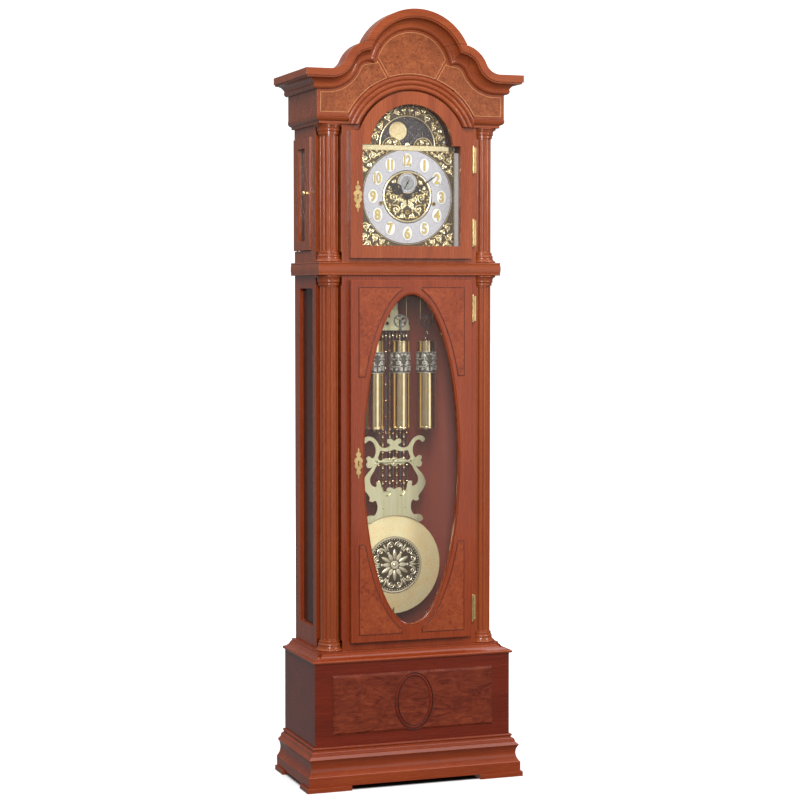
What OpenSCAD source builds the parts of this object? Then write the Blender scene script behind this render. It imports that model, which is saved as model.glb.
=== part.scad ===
// Longcase clock with a break-arch dial, fluted corner columns and an oval-windowed trunk door.
// Millimetres. X to the right, front towards -Y, Z up; the origin is on the floor under the
// middle of the case.

/* [Case] */
// Width of the trunk and hood carcass
case_w = 511; // [505:1:517]
// Depth from the zero line forward to the carcass front
case_front = 95; // [93:1:97]
// Depth from the zero line back to the wall
case_back = 158; // [156:1:162]
// Thickness of the carcass sides
side_t = 20; // [18:1:21]
// Height of the base plinth's foot pads
foot_h = 13; // [8:1:16]
// Top of the plinth box
plinth_top = 349; // [346:1:352]
// Top of the ledge that the trunk stands on
ledge_top = 377; // [375:1:380]
// Underside of the waist belt
waist_bottom = 1414; // [1412:1:1416]
// Top of the waist belt
waist_top = 1450; // [1448:1:1452]
// Top of the hood columns
neck_bottom = 1826; // [1824:1:1828]
// Top of the flat parts of the cornice
cornice_top = 1970; // [1968:1:1974]
// Projection of the cornice in front of the carcass
cornice_e = 61; // [58:1:63]
// Projection of the foot pads in front of the carcass
foot_e = 63; // [60:1:64]

/* [Doors] */
// Half width of both front doors
door_hw = 178; // [176:1:179]
// Thickness of the front doors
door_t = 20; // [18:1:22]
// Half width of the oval window
oval_a = 139; // [130:1:142]
// Half height of the oval window
oval_b = 458; // [450:1:460]
// How far outside the carcass front the hinge line stands
hinge_out = 18; // [17:0.5:18.5]

/* [Columns] */
// Radius of the fluted shafts
shaft_r = 25.5; // [24:0.5:26]
// Number of flutes on a shaft
flutes = 12; // [8:1:16]
// Distance of a column's centre from the middle of the case
column_x = 226; // [225:0.5:227]
// Distance of a column's centre in front of the zero line
column_y = 67; // [66:0.5:68]

/* [Dial and movement] */
// Height of the centre of the dial
dial_z = 1632; // [1630:1:1634]
// Half width of the square part of the dial
dial_hw = 140; // [138:1:141]
// Outer radius of the chapter ring
chapter_r = 130; // [126:1:132]
// Height of the pendulum's pivot
pivot_z = 1698; // [1696:1:1700]
// Distance from the middle to the outer weights
weight_x = 78; // [77:0.5:79]
// Radius of a weight
weight_r = 28; // [26:1:29]
// Radius at which the cable runs on barrels and pulleys
cable_r = 18; // [17:0.5:19]
// Radius of the pendulum bob
bob_r = 141; // [130:1:145]

/* [Hidden] */
$fn = 72;

case_hw = case_w / 2;
inner_hw = case_hw - side_t;
front_y = -case_front;
gap = 0.2;             // joint between separate boards of one node

// plinth
plinth_e = 32.5;
board_t = 18;

// corner posts and their notches
stile_out = 200;
stile_in = 160;
frame_t = 22;
notch_y = -39;
post_t = 18;
column_end_r = 39.5;
column_end_h = 28;

// glazed openings of the sides
glass_t = 4;
trunk_glass_y = [-9, 112];
trunk_glass_z = [435, 1378];
side_door_y = [1, 152];
side_door_z = [1484, 1797];
side_glass_y = [47, 111];
side_glass_z = [1510, 1767];
side_pivot = [case_hw - 4.5, 147];
side_pivot_r = 2.5;
side_proud = 5;
side_door_t = 19;

// front doors
trunk_door_z = [400, 1400];
oval_z = 903;
hood_door_z = 1461;
hood_shoulder_z = 1808;
hood_arch_z = 1759;
hood_arch_r = 160;
hood_open_hw = 144;
hood_open_z = [1495, 1772];
hood_light_r = 122;
hood_light_z = 1762;
door_front = front_y - door_t;
hinge_x = door_hw + 4;
hinge_y = front_y - hinge_out;
knuckle_r = 3.5;
pin_r = 1.6;
pin_out = 2.3;
hinge_h = 70;
trunk_hinge_z = [444, 1287];
hood_hinge_z = [1498, 1701];
run = 0.05;            // radial running clearance of pins and arbors

// neck arch
neck_arch_z = 1757;
neck_in_r = 166;
neck_out_r = 207;

// crown outline: centre arch, shoulders, and the hollows that join them to the flats
crown_arch_z = 1976.5;
crown_arch_r = 163.5;
shoulder_x = 127;
shoulder_z = cornice_top - 5;
shoulder_r = 84;
hollow_r = 45;
hollow_z = cornice_top + hollow_r;
hollow_x = shoulder_x + sqrt(pow(shoulder_r + hollow_r, 2) - pow(hollow_z - shoulder_z, 2));
frieze_e = 18.5;
crown_band = 46;       // depth of the crown moulding, measured in from its outline
frieze_in = 61;        // depth of the veneered panels' top edge, measured the same way

// dial
dial_front = -75;
dial_t = 2;
dial_bottom = 1490;
dial_square_top = 1772;
dial_arch_z = 1774;
dial_arch_r = 115;
lunette_r = 79;
bar_z = 1759;
hump_x = 46;
hump_r = 29;
hump_z = 1768;
seconds_z = 1670;
moon_z = 1765;
moon_disc_r = 90;
moon_r = 26;
moon_out = 55;         // distance of each painted moon from the disc's centre
moon_a = 119;          // direction of the moon in view
winding = [[-weight_x, 1613], [0, 1589], [weight_x, 1613]];

// movement, weights and pendulum
plate_front = [-46, -43];
plate_back = [10, 13];
weight_y = -19;
weight_z = [984, 1232];
pulley_z = 1287;
cable_d = 1.6;
cable_post = 20;       // height of a cable's fixed post above its barrel
rod_y = 42;
lyre_y = [32, 35];
bob_y = rod_y;
bob_z = 592;

// ---------------------------------------------------------------- helpers

// 2D drawing in (X, Z) given thickness from y0 to y1
module front(y0, y1) { translate([0, y1, 0]) rotate([90, 0, 0]) linear_extrude(y1 - y0) children(); }
// 2D drawing in (Y, Z) given thickness from x0 to x1
module side(x0, x1) { translate([x0, 0, 0]) rotate([90, 0, 90]) linear_extrude(x1 - x0) children(); }
// 2D drawing in (X, Y) given thickness from z0 to z1
module plan(z0, z1) { translate([0, 0, z0]) linear_extrude(z1 - z0) children(); }
module both() { children(); mirror([1, 0, 0]) children(); }
module both2() { children(); mirror([1, 0]) children(); }
module block(x, y, z) { translate([x[0], y[0], z[0]]) cube([x[1] - x[0], y[1] - y[0], z[1] - z[0]]); }
module rect(x, y) { translate([x[0], y[0]]) square([x[1] - x[0], y[1] - y[0]]); }
// solid of revolution about the Y axis through (x, z); its drawing is (radius, forward distance)
module turned(x, z, y = 0) { translate([x, y, z]) rotate([90, 0, 0]) rotate_extrude() children(); }
module rod_y(x, z, r, y0, y1) { translate([x, y1, z]) rotate([90, 0, 0]) cylinder(h = y1 - y0, r = r); }

// Closed smooth curve through a few points
function spline_point(p, i, t) =
  let (n = len(p), a = p[(i + n - 1) % n], b = p[i], c = p[(i + 1) % n], d = p[(i + 2) % n])
  0.5 * (2 * b + (c - a) * t + (2 * a - 5 * b + 4 * c - d) * pow(t, 2)
         + (3 * b - a - 3 * c + d) * pow(t, 3));
function smooth(p, steps = 4) =
  [for (i = [0 : len(p) - 1], k = [0 : steps - 1]) spline_point(p, i, k / steps)];

// A moulding that wraps the front and both sides. Its drawing is (projection, height).
module wrap(e_out, e_in, z0, z1) {
  hx = case_hw + e_out;
  kx = case_hw + e_in;
  intersection() {
    side(-hx, hx) translate([front_y, 0]) mirror([1, 0]) children();
    plan(z0, z1) polygon([[-hx, front_y - e_out], [hx, front_y - e_out],
                          [kx - gap, front_y - e_in], [gap - kx, front_y - e_in]]);
  }
  both() intersection() {
    front(front_y - e_out, case_back) translate([case_hw, 0]) children();
    plan(z0, z1) polygon([[kx, front_y - e_in], [hx, front_y - e_out], [hx, case_back], [kx, case_back]]);
  }
}

// ---------------------------------------------------------------- plinth

module feet() {
  pad = 128;
  color("sienna") {
    both() plan(0, foot_h) {
      rect([case_hw + foot_e - pad, case_hw + foot_e], [front_y - foot_e, front_y - foot_e + 46]);
      rect([case_hw + foot_e - 46, case_hw + foot_e], [front_y - foot_e, front_y - foot_e + 74]);
    }
    both() block([case_hw + foot_e - 46, case_hw + foot_e], [case_back - 74, case_back], [0, foot_h]);
  }
}

module base_profile() {
  fascia_top = 42;
  difference() {
    union() {
      rect([-8, 57.5], [foot_h, fascia_top]);
      rect([plinth_e, 55], [fascia_top, 89]);
      polygon([[plinth_e, 88], [55, 88.5], [47, 96], [plinth_e, 96]]);
      rect([plinth_e, 46], [95, 99]);
      intersection() {
        translate([36, 99]) circle(r = 9.5);
        rect([plinth_e, 60], [98, 112]);
      }
      rect([plinth_e, 37], [99, 111]);
      translate([plinth_e + 3.5, 115]) circle(r = 3.5);
      rect([plinth_e, 36], [111, 118.5]);
    }
    translate([83, 66]) circle(r = 36);
  }
}

module base_moulding() {
  color("sienna") wrap(foot_e, -8, foot_h, 119) base_profile();
}

module plinth_panels() {
  hx = case_hw + plinth_e;
  color("brown") {
    block([-hx, hx], [front_y - plinth_e, front_y - plinth_e + board_t], [42, plinth_top]);
    both() block([hx - board_t, hx], [front_y - plinth_e + board_t + gap, case_back], [42, plinth_top]);
    block([-hx + board_t + gap, hx - board_t - gap], [case_back - 12, case_back], [42, plinth_top]);
    block([-hx + board_t + gap, hx - board_t - gap],
          [front_y - plinth_e + board_t + gap, case_back - 12 - gap], [60, 76]);
  }
}

// Raised panel with a bevelled edge and an oval groove
module plinth_burl_panel() {
  y = front_y - plinth_e;
  hw = 237;
  z0 = 150;
  z1 = 315;
  t = 5;
  bevel = 6;
  lip = 1;
  color("indianred") difference() {
    intersection() {
      front(y - t, y) rect([-hw, hw], [z0, z1]);
      // bevelled edges: two wedge profiles crossed
      plan(z0, z1) polygon([[-hw, y], [hw, y], [hw, y - lip], [hw - bevel, y - t],
                            [bevel - hw, y - t], [-hw, y - lip]]);
      side(-hw, hw) polygon([[y, z0], [y - lip, z0], [y - t, z0 + bevel],
                             [y - t, z1 - bevel], [y - lip, z1], [y, z1]]);
    }
    front(y - t - 1, y - 2) difference() {
      oval(57, 80, 231);
      oval(46, 68, 231);
    }
  }
}

// Ellipse drawing centred on the middle line
module oval(a, b, z) {
  translate([0, z]) polygon([for (k = [0 : 3 : 357]) [a * cos(k), b * sin(k)]]);
}

module plinth_top_profile() {
  difference() {
    union() {
      rect([-60, 38], [plinth_top, plinth_top + 22]);
      translate([37, plinth_top + 4]) circle(r = 3.2);
      rect([-60, 12], [plinth_top, ledge_top]);
    }
    translate([36, plinth_top + 30]) circle(r = 22);
  }
}

module plinth_top_board() {
  hx = case_hw + 41;
  color("sienna") difference() {
    intersection() {
      union() {
        side(-hx, hx) {
          translate([front_y, 0]) mirror([1, 0]) plinth_top_profile();
          rect([front_y + 50, case_back], [plinth_top, ledge_top]);
        }
      }
      front(front_y - 41, case_back) {
        translate([case_hw, 0]) plinth_top_profile();
        translate([-case_hw, 0]) mirror([1, 0]) plinth_top_profile();
        rect([-case_hw + 50, case_hw - 50], [plinth_top, ledge_top]);
      }
    }
    both() translate([case_hw + 12, front_y - 12, plinth_top + 24]) rotate([0, 0, 45])
      cube([14, 14, 20], center = true);
  }
}

// ---------------------------------------------------------------- trunk

// Section of the right corner post: front stile, web and the wall behind the column
module post_section() {
  rect([stile_in, stile_out], [front_y, front_y + frame_t]);
  rect([stile_out - post_t, stile_out], [front_y, notch_y]);
  rect([stile_out - post_t, inner_hw], [notch_y, notch_y + post_t]);
}

// Room for the ends of a column that stands from z0 to z1, let into the post and the side
module column_recesses(z0, z1) {
  h = column_end_h + 0.2;
  for (z = [z0, z1 - h]) translate([column_x, -column_y, z]) cylinder(h = h, r = column_end_r + 0.2);
}

module trunk_front_frame() {
  color("sienna") {
    both() difference() {
      plan(ledge_top, waist_bottom) post_section();
      column_recesses(ledge_top, waist_bottom);
    }
    block([gap - stile_in, stile_in - gap], [front_y, front_y + frame_t], [ledge_top, 430]);
    block([gap - stile_in, stile_in - gap], [front_y, front_y + frame_t], [1376, waist_bottom]);
  }
}

module trunk_sides() {
  color("sienna") both() difference() {
    block([inner_hw, case_hw], [notch_y, case_back], [ledge_top, waist_bottom]);
    block([inner_hw - 1, case_hw + 1], trunk_glass_y, trunk_glass_z);
    // rebate for the glass
    block([inner_hw - 1, inner_hw + 9], trunk_glass_y + [-6, 6], trunk_glass_z + [-6, 6]);
    column_recesses(ledge_top, waist_bottom);
  }
}

module trunk_side_glass() {
  color("lightcyan", 0.35) both()
    block([inner_hw + 9 - glass_t, inner_hw + 9], trunk_glass_y + [-5.5, 5.5], trunk_glass_z + [-5.5, 5.5]);
}

module back_panel() {
  color("maroon") block([0.3 - inner_hw, inner_hw - 0.3], [148, 156], [ledge_top, 1945]);
}

// Turned end of a column: flange, hollow, torus and astragal, growing upwards from z = 0
module column_end() {
  rotate_extrude() difference() {
    union() {
      rect([0, 37.5], [0, 5]);
      translate([column_end_r - 2.5, 2.5]) circle(r = 2.5);
      rect([0, 35], [5, 7]);
      rect([0, 33], [7, 14]);
      rect([0, 29], [14, 28]);
      translate([28, 16.5]) circle(r = 4);
      translate([26.5, 25]) circle(r = 2.6);
    }
    translate([39, 13]) circle(r = 7.5);
  }
}

// Fluted shaft between two turned ends
module column(z0, z1) {
  end_h = column_end_h;
  translate([column_x, -column_y, 0]) {
    translate([0, 0, z0]) column_end();
    translate([0, 0, z1]) mirror([0, 0, 1]) column_end();
    difference() {
      translate([0, 0, z0 + end_h]) cylinder(h = z1 - z0 - 2 * end_h, r = shaft_r);
      for (k = [0 : flutes - 1]) rotate([0, 0, (k + 0.5) * 360 / flutes])
        translate([shaft_r + 1.6, 0, z0 + end_h + 4])
          cylinder(h = z1 - z0 - 2 * end_h - 8, r = 4.6, $fn = 32);
    }
  }
}

module columns() {
  color("peru") both() {
    column(ledge_top, waist_bottom);
    column(waist_top, neck_bottom);
  }
}

module waist_moulding() {
  e = 11;
  color("sienna") wrap(14, -side_t, waist_bottom, waist_top) {
    rect([-side_t, e - 1], [waist_bottom, waist_top]);
    intersection() {
      translate([e - 60, 1432]) circle(r = 61.5);
      rect([0, e + 3], [waist_bottom + 5, waist_top - 5]);
    }
    for (z = [waist_bottom + 2.5, waist_top - 2.5]) translate([e - 1.5, z]) circle(r = 2.5);
  }
}

// ---------------------------------------------------------------- hood

module hood_sides() {
  z = side_door_z + [-1.5, 1.5];
  color("sienna") both() difference() {
    block([inner_hw, case_hw], [notch_y, case_back], [waist_top, 1945]);
    // pocket that the side door closes into, open at the back
    block([inner_hw + 4, case_hw + 1], [side_door_y[0] - 1.5, case_back + 1], z);
    block([inner_hw - 1, case_hw], [14, 134], [1498, 1783]);
    for (s = [0, 1]) translate([side_pivot[0], side_pivot[1], s == 0 ? z[0] - 8 : z[1] - 1])
      cylinder(h = 9, r = side_pivot_r);
    column_recesses(waist_top, neck_bottom);
  }
}

module side_door() {
  x0 = case_hw + side_proud - side_door_t;
  difference() {
    block([x0, x0 + side_door_t], side_door_y, side_door_z);
    block([x0 - 1, x0 + 8], side_glass_y + [-5, 5], side_glass_z + [-5, 5]);
    block([x0 - 1, x0 + side_door_t + 1], side_glass_y, side_glass_z);
    for (z = [side_door_z[0] - 1, side_door_z[1] - 10]) translate([side_pivot[0], side_pivot[1], z])
      cylinder(h = 11, r = side_pivot_r + run);
  }
}

module side_glass() {
  x = case_hw + side_proud - side_door_t + 8;
  block([x - glass_t, x], side_glass_y + [-4.7, 4.7], side_glass_z + [-4.7, 4.7]);
}

module side_knob() {
  translate([case_hw + side_proud, 20, 1642]) rotate([0, 90, 0]) rotate_extrude() {
    rect([0, 4.5], [0, 1.5]);
    rect([0, 2], [0, 8]);
    intersection() {
      translate([0, 9]) circle(r = 5.5);
      rect([0, 6], [5, 15]);
    }
  }
}

module left_side_door() { color("sienna") mirror([1, 0, 0]) side_door(); }
module left_side_glass() { color("lightcyan", 0.35) mirror([1, 0, 0]) side_glass(); }
module left_side_knob() { color("gold") mirror([1, 0, 0]) side_knob(); }
module right_side_door() { color("sienna") side_door(); }
module right_side_glass() { color("lightcyan", 0.35) side_glass(); }
module right_side_knob() { color("gold") side_knob(); }

module hood_front_frame() {
  color("sienna") {
    both() difference() {
      plan(waist_top, neck_bottom) post_section();
      column_recesses(waist_top, neck_bottom);
    }
    front(front_y, front_y + frame_t) difference() {
      union() {
        rect([gap - stile_in, stile_in - gap], [waist_top, neck_bottom]);
        rect([0.3 - inner_hw, inner_hw - 0.3], [neck_bottom + gap, 1905]);
        translate([0, neck_arch_z]) circle(r = 188);
      }
      rect([-152, 152], [1488, 1780]);
      rect([-300, 300], [1000, 1484]);
      translate([0, hood_light_z]) circle(r = 131);
      both2() rect([stile_in - gap, 300], [1300, neck_bottom + gap]);
    }
    block([gap - stile_in, stile_in - gap], [front_y, front_y + frame_t], [waist_top, 1483.8]);
  }
}

// Three rounded ribs and the flat they stand on; drawing is (distance from the inner edge, projection)
module neck_ribs() {
  rect([0, 41], [0, 12]);
  for (k = [0 : 2]) intersection() {
    translate([7 + k * 13.5, 14]) circle(r = 7);
    rect([k * 13.5, k * 13.5 + 14], [0, 30]);
  }
}

// Straight neck moulding between the column capitals and the frieze; drawing is (projection, height)
module neck_profile() {
  difference() {
    union() {
      rect([0, 8.5], [neck_bottom, neck_bottom + 7]);
      intersection() {
        translate([8, 1845]) circle(r = 12);
        rect([0, 22], [neck_bottom + 6, 1843]);
      }
      rect([0, 9], [neck_bottom, 1849]);
      rect([0, 17], [1842, 1849]);
      translate([17, 1846]) circle(r = 3);
    }
    rect([-5, 0], [1800, 1900]);
  }
}

module neck_moulding() {
  spring = 183;
  color("peru") {
    difference() {
      wrap(23, 0, neck_bottom, 1849) neck_profile();
      front(front_y - 30, front_y + 1) rect([-spring, spring], [1800, 1860]);
    }
    intersection() {
      translate([0, front_y, neck_arch_z]) rotate([90, 0, 0]) rotate_extrude()
        translate([neck_in_r, 0]) neck_ribs();
      front(front_y - 30, front_y) rect([-spring + gap, spring - gap], [neck_bottom, 2000]);
    }
  }
}

// Face outline of the crown, drawn in by d
module crown_region(d, z_low = 1800) {
  translate([0, crown_arch_z]) circle(r = crown_arch_r - d);
  rect([-cornice_e - case_hw, case_hw + cornice_e], [z_low, cornice_top - d]);
  both2() {
    translate([shoulder_x, shoulder_z]) circle(r = shoulder_r - d);
    difference() {
      polygon([[shoulder_x, shoulder_z], [hollow_x, hollow_z], [hollow_x, cornice_top - 120],
               [shoulder_x, cornice_top - 120]]);
      translate([hollow_x, hollow_z]) circle(r = hollow_r + d);
    }
  }
}

// Crown moulding section: (minus the distance in from the outline, projection)
module crown_profile() {
  rect([-19.5, 0], [0, cornice_e]);
  rect([-24, -19], [0, cornice_e - 4]);
  difference() {
    rect([-39, -23], [0, 51]);
    translate([-47, 51]) circle(r = 23);
  }
  intersection() {
    translate([-43, 22]) circle(r = 9);
    rect([-60, 0], [frieze_e, 40]);
  }
  rect([-crown_band, -38], [0, 22]);
}

// What lies in front of the moulding of a round of radius r, as its drawing for turning
module crown_hollowing(r) {
  difference() {
    rect([0, r + 1], [-1, 80]);
    translate([r, 0]) crown_profile();
  }
}

// A stretch of the moulding turned about (x, z), from the angle a0 over the angle a
module crown_sweep(x, z, a0, a) {
  translate([x, front_y, z]) rotate([90, 0, 0]) rotate([0, 0, a0]) rotate_extrude(angle = a) children();
}

module crown_moulding() {
  hollow_a = atan2(hollow_z - shoulder_z, hollow_x - shoulder_x);
  color("peru") {
    intersection() {
      union() {
        difference() {
          crown_sweep(0, crown_arch_z, 8, 164) translate([crown_arch_r, 0]) crown_profile();
          both() turned(shoulder_x, shoulder_z, front_y) crown_hollowing(shoulder_r);
        }
        both() {
          difference() {
            crown_sweep(shoulder_x, shoulder_z, hollow_a, 130 - hollow_a)
              translate([shoulder_r, 0]) crown_profile();
            turned(0, crown_arch_z, front_y) crown_hollowing(crown_arch_r);
          }
          crown_sweep(hollow_x, hollow_z, 180 + hollow_a, 90 - hollow_a)
            translate([hollow_r, 0]) mirror([1, 0]) crown_profile();
          side(hollow_x, case_hw + cornice_e) translate([front_y, cornice_top])
            rotate(90) crown_profile();
        }
      }
      plan(1850, 2200) polygon([[-case_hw - cornice_e, front_y - cornice_e],
                                [case_hw + cornice_e, front_y - cornice_e],
                                [case_hw, front_y], [-case_hw, front_y]]);
    }
    both() intersection() {
      front(front_y - cornice_e, case_back) translate([case_hw, cornice_top]) rotate(-90) mirror([1, 0])
        crown_profile();
      plan(1850, 2200) polygon([[case_hw, front_y + gap], [case_hw + cornice_e, front_y - cornice_e + gap],
                                [case_hw + cornice_e, case_back], [case_hw, case_back]]);
    }
  }
}

module frieze_boards() {
  fx = case_hw + frieze_e;
  top = cornice_top - crown_band;
  color("peru") {
    front(front_y - frieze_e, front_y) difference() {
      intersection() {
        crown_region(crown_band + 0.1);
        rect([-fx, fx], [1849, 2200]);
      }
      translate([0, neck_arch_z]) circle(r = neck_out_r);
    }
    both() block([case_hw, fx], [front_y + gap, case_back], [1849, top]);
  }
}

// Half width at height z of a keystone whose sides lean outwards; it is w at the height key_z
key_z = 1990;
function key_x(w, z) = w + 0.6 * (z - key_z);

// Thin burl veneers on the frieze: one on each side, and the keystone between them
module frieze_burl_panels() {
  y = front_y - frieze_e;
  low = 1858;
  high = 2100;
  end_x = 263;
  key_hw = 86;
  strip = 11;
  valley_z = 1992;
  color("burlywood") front(y - 0.8, y) difference() {
    intersection() {
      union() {
        crown_region(frieze_in);
        // fills the valley between the centre arch and the shoulder
        both2() polygon([[0, valley_z], [shoulder_x - 21, valley_z],
                         [shoulder_x, shoulder_z + shoulder_r - frieze_in], [shoulder_x, low], [0, low]]);
      }
      union() {
        both2() polygon([[key_x(key_hw + strip, low), low], [end_x, low], [end_x, high],
                         [key_x(key_hw + strip, high), high]]);
        polygon([[-key_x(key_hw, low), low], [key_x(key_hw, low), low],
                 [key_x(key_hw, high), high], [-key_x(key_hw, high), high]]);
      }
    }
    translate([0, neck_arch_z]) circle(r = neck_out_r + 4);
  }
}

module roof_board() {
  color("sienna") {
    block([-case_hw, case_hw], [front_y, case_back], [1945.2, 1957]);
    // arched board behind the crown
    front(front_y, front_y + 18) intersection() {
      crown_region(26);
      rect([-case_hw, case_hw], [1957, 2200]);
    }
  }
}

// ---------------------------------------------------------------- front doors

module trunk_door() {
  color("sienna") difference() {
    block([-door_hw, door_hw], [door_front, front_y], trunk_door_z);
    front(door_front - 1, front_y + 1) oval(oval_a, oval_b, oval_z);
    // rebate for the glass behind, and a stepped moulding in front
    front(front_y - 8, front_y + 1) oval(oval_a + 7, oval_b + 7, oval_z);
    front(door_front - 1, door_front + 3) oval(oval_a + 5, oval_b + 5, oval_z);
  }
}

module trunk_door_glass() {
  color("lightcyan", 0.3) front(front_y - 8, front_y - 4) oval(oval_a + 6.7, oval_b + 6.7, oval_z);
}

module trunk_door_burl() {
  color("indianred") front(door_front - 0.8, door_front) difference() {
    rect([-154, 154], [421, 1379]);
    oval(oval_a + 19, oval_b + 22, oval_z);
    rect([-200, 200], [670, 1136]);
    rect([-31, 31], [300, 1500]);
  }
}

module hood_door_outline() {
  fillet = 14;
  fz = hood_shoulder_z + fillet;
  fx = sqrt(pow(hood_arch_r + fillet, 2) - pow(fz - hood_arch_z, 2));
  rect([-door_hw, door_hw], [hood_door_z, hood_shoulder_z]);
  translate([0, hood_arch_z]) circle(r = hood_arch_r);
  both2() difference() {
    polygon([[fx, hood_shoulder_z - 1], [fx, fz], [0, hood_arch_z], [120, hood_shoulder_z - 1]]);
    translate([fx, fz]) circle(r = fillet);
  }
}

module hood_light(grow) {
  rect([-hood_open_hw - grow, hood_open_hw + grow], [hood_open_z[0] - grow, hood_open_z[1] + grow]);
  translate([0, hood_light_z]) circle(r = hood_light_r + grow);
}

module hood_door() {
  color("sienna") difference() {
    front(door_front, front_y) hood_door_outline();
    front(door_front - 1, front_y + 1) hood_light(0);
    front(front_y - 8, front_y + 1) hood_light(6);
  }
}

module hood_door_glass() {
  color("lightcyan", 0.3) front(front_y - 8, front_y - 4) hood_light(5.7);
}

// Pierced keyhole plate, drawn about its own middle
module escutcheon(h) {
  k = h / 85;
  scale([k, k]) difference() {
    union() {
      both2() polygon(smooth([[0, 42], [2.5, 36], [1.5, 31], [6, 28], [7, 22], [4, 18], [10, 13], [12.5, 5],
                              [9, -1], [11.5, -8], [8, -15], [4, -19], [7, -25], [5, -31], [1.5, -33],
                              [2, -38], [0, -42], [-1, -20], [-1, 20]]));
    }
    translate([0, 4]) circle(r = 2.6);
    polygon([[-1.2, 4], [1.2, 4], [2.2, -8], [-2.2, -8]]);
  }
}

module trunk_door_escutcheon() {
  color("gold") front(door_front - 1.6, door_front) translate([-157, 898]) escutcheon(84);
}

module hood_door_escutcheon() {
  color("gold") front(door_front - 1.6, door_front) translate([-158, 1629]) escutcheon(85);
}

// One hinge's knuckles: the fixed ones at both ends, the moving one between them
knuckle_h = (hinge_h - 4) / 3;
module fixed_hinge(z) {
  for (z0 = [z, z + hinge_h - knuckle_h]) {
    difference() {
      translate([hinge_x, hinge_y, z0]) cylinder(h = knuckle_h, r = knuckle_r);
      translate([hinge_x, hinge_y, z0 - 1]) cylinder(h = knuckle_h + 2, r = pin_r);
    }
    plan(z0, z0 + knuckle_h) {
      rect([hinge_x + 0.2, hinge_x + 2.2], [hinge_y + 3, front_y]);
    }
  }
  block([hinge_x + 0.2, hinge_x + 16], [front_y - 1.5, front_y], [z, z + hinge_h]);
}

module moving_hinge(z) {
  z0 = z + knuckle_h + 2;
  difference() {
    union() {
      translate([hinge_x, hinge_y, z0]) cylinder(h = knuckle_h, r = knuckle_r);
      block([door_hw, hinge_x - 1.5], [hinge_y, hinge_y + 6], [z0, z0 + knuckle_h]);
    }
    translate([hinge_x, hinge_y, z0 - 1]) cylinder(h = knuckle_h + 2, r = pin_r + run);
  }
  block([door_hw, door_hw + 1.5], [hinge_y + 5, hinge_y + 15], [z, z + hinge_h]);
}

module hinge_posts() {
  color("gold") for (z = concat(trunk_hinge_z, hood_hinge_z)) fixed_hinge(z);
}

module hinge_pins() {
  color("gold") {
    for (z = concat(trunk_hinge_z, hood_hinge_z)) translate([hinge_x, hinge_y, z - pin_out]) {
      cylinder(h = hinge_h + 2 * pin_out, r = pin_r);
      for (s = [0, hinge_h + 2 * pin_out]) translate([0, 0, s]) sphere(r = 2.6);
    }
    // pivots of the two side doors
    both() for (z = [side_door_z[0] - 9.5, side_door_z[1] - 9])
      translate([side_pivot[0], side_pivot[1], z]) cylinder(h = 18.5, r = side_pivot_r);
  }
}

module trunk_door_hinge_leaves() { color("gold") for (z = trunk_hinge_z) moving_hinge(z); }
module hood_door_hinge_leaves() { color("gold") for (z = hood_hinge_z) moving_hinge(z); }

// ---------------------------------------------------------------- dial

module dial_plate() {
  color("gold") difference() {
    union() {
      front(dial_front, dial_front + dial_t) {
        rect([-dial_hw, dial_hw], [dial_bottom, dial_square_top]);
        translate([0, dial_arch_z]) intersection() {
          circle(r = dial_arch_r);
          rect([-200, 200], [-10, 200]);
        }
      }
      for (x = [-110, 110], z = [1510, 1740]) rod_y(x, z, 4, dial_front + dial_t, plate_front[0]);
    }
    front(dial_front - 1, dial_front + dial_t + 1) difference() {
      translate([0, dial_arch_z]) intersection() {
        circle(r = lunette_r);
        rect([-100, 100], [0, 100]);
      }
      for (s = [-1, 1]) translate([s * hump_x, hump_z]) circle(r = hump_r);
    }
    for (p = winding) rod_y(p[0], p[1], 5, dial_front - 1, dial_front + dial_t + 1);
    rod_y(0, dial_z, 7, dial_front - 1, dial_front + dial_t + 1);
    rod_y(0, seconds_z, 3, dial_front - 1, dial_front + dial_t + 1);
  }
}

module chapter_ring() {
  color("silver") front(dial_front - 1.5, dial_front) {
    difference() {
      translate([0, dial_z]) circle(r = chapter_r);
      translate([0, dial_z]) circle(r = 72);
      for (p = winding) translate(p) circle(r = 6.5);
      rect([-dial_hw, dial_hw], [bar_z - 0.3, dial_square_top]);
    }
    translate([0, seconds_z]) difference() {
      circle(r = 27);
      circle(r = 4);
    }
  }
}

// Gold trim of the dial: corner spandrels, lunette ring, cross bar, hump rims, inner ring
module dial_ornaments() {
  y = dial_front;
  color("gold") {
    front(y - 1.6, y) {
      difference() {
        rect([-dial_hw, dial_hw], [dial_bottom, dial_bottom + 2 * dial_hw - 12]);
        translate([0, dial_z]) circle(r = chapter_r + 2.5);
        rect([-45, 45], [1400, 1800]);
        rect([-200, 200], [dial_z - 45, dial_z + 45]);
      }
      translate([0, dial_z]) difference() {
        circle(r = 71.5);
        circle(r = 66);
        translate([0, seconds_z - dial_z]) circle(r = 32);
      }
      translate([0, dial_arch_z]) intersection() {
        rect([-200, 200], [0, 200]);
        difference() {
          circle(r = dial_arch_r - 1);
          circle(r = lunette_r + 1);
        }
      }
      for (s = [-1, 1]) translate([s * hump_x, hump_z]) intersection() {
        difference() {
          circle(r = hump_r);
          circle(r = hump_r - 2.5);
        }
        rect([-40, 40], [dial_arch_z - hump_z, 60]);
      }
    }
    front(y - 3, y) rect([-dial_hw + 1, dial_hw - 18], [bar_z, dial_arch_z - 0.3]);
    // lever knob at the right end of the lunette
    rod_y(109, 1784, 5.5, y - 8, y);
  }
}

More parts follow.
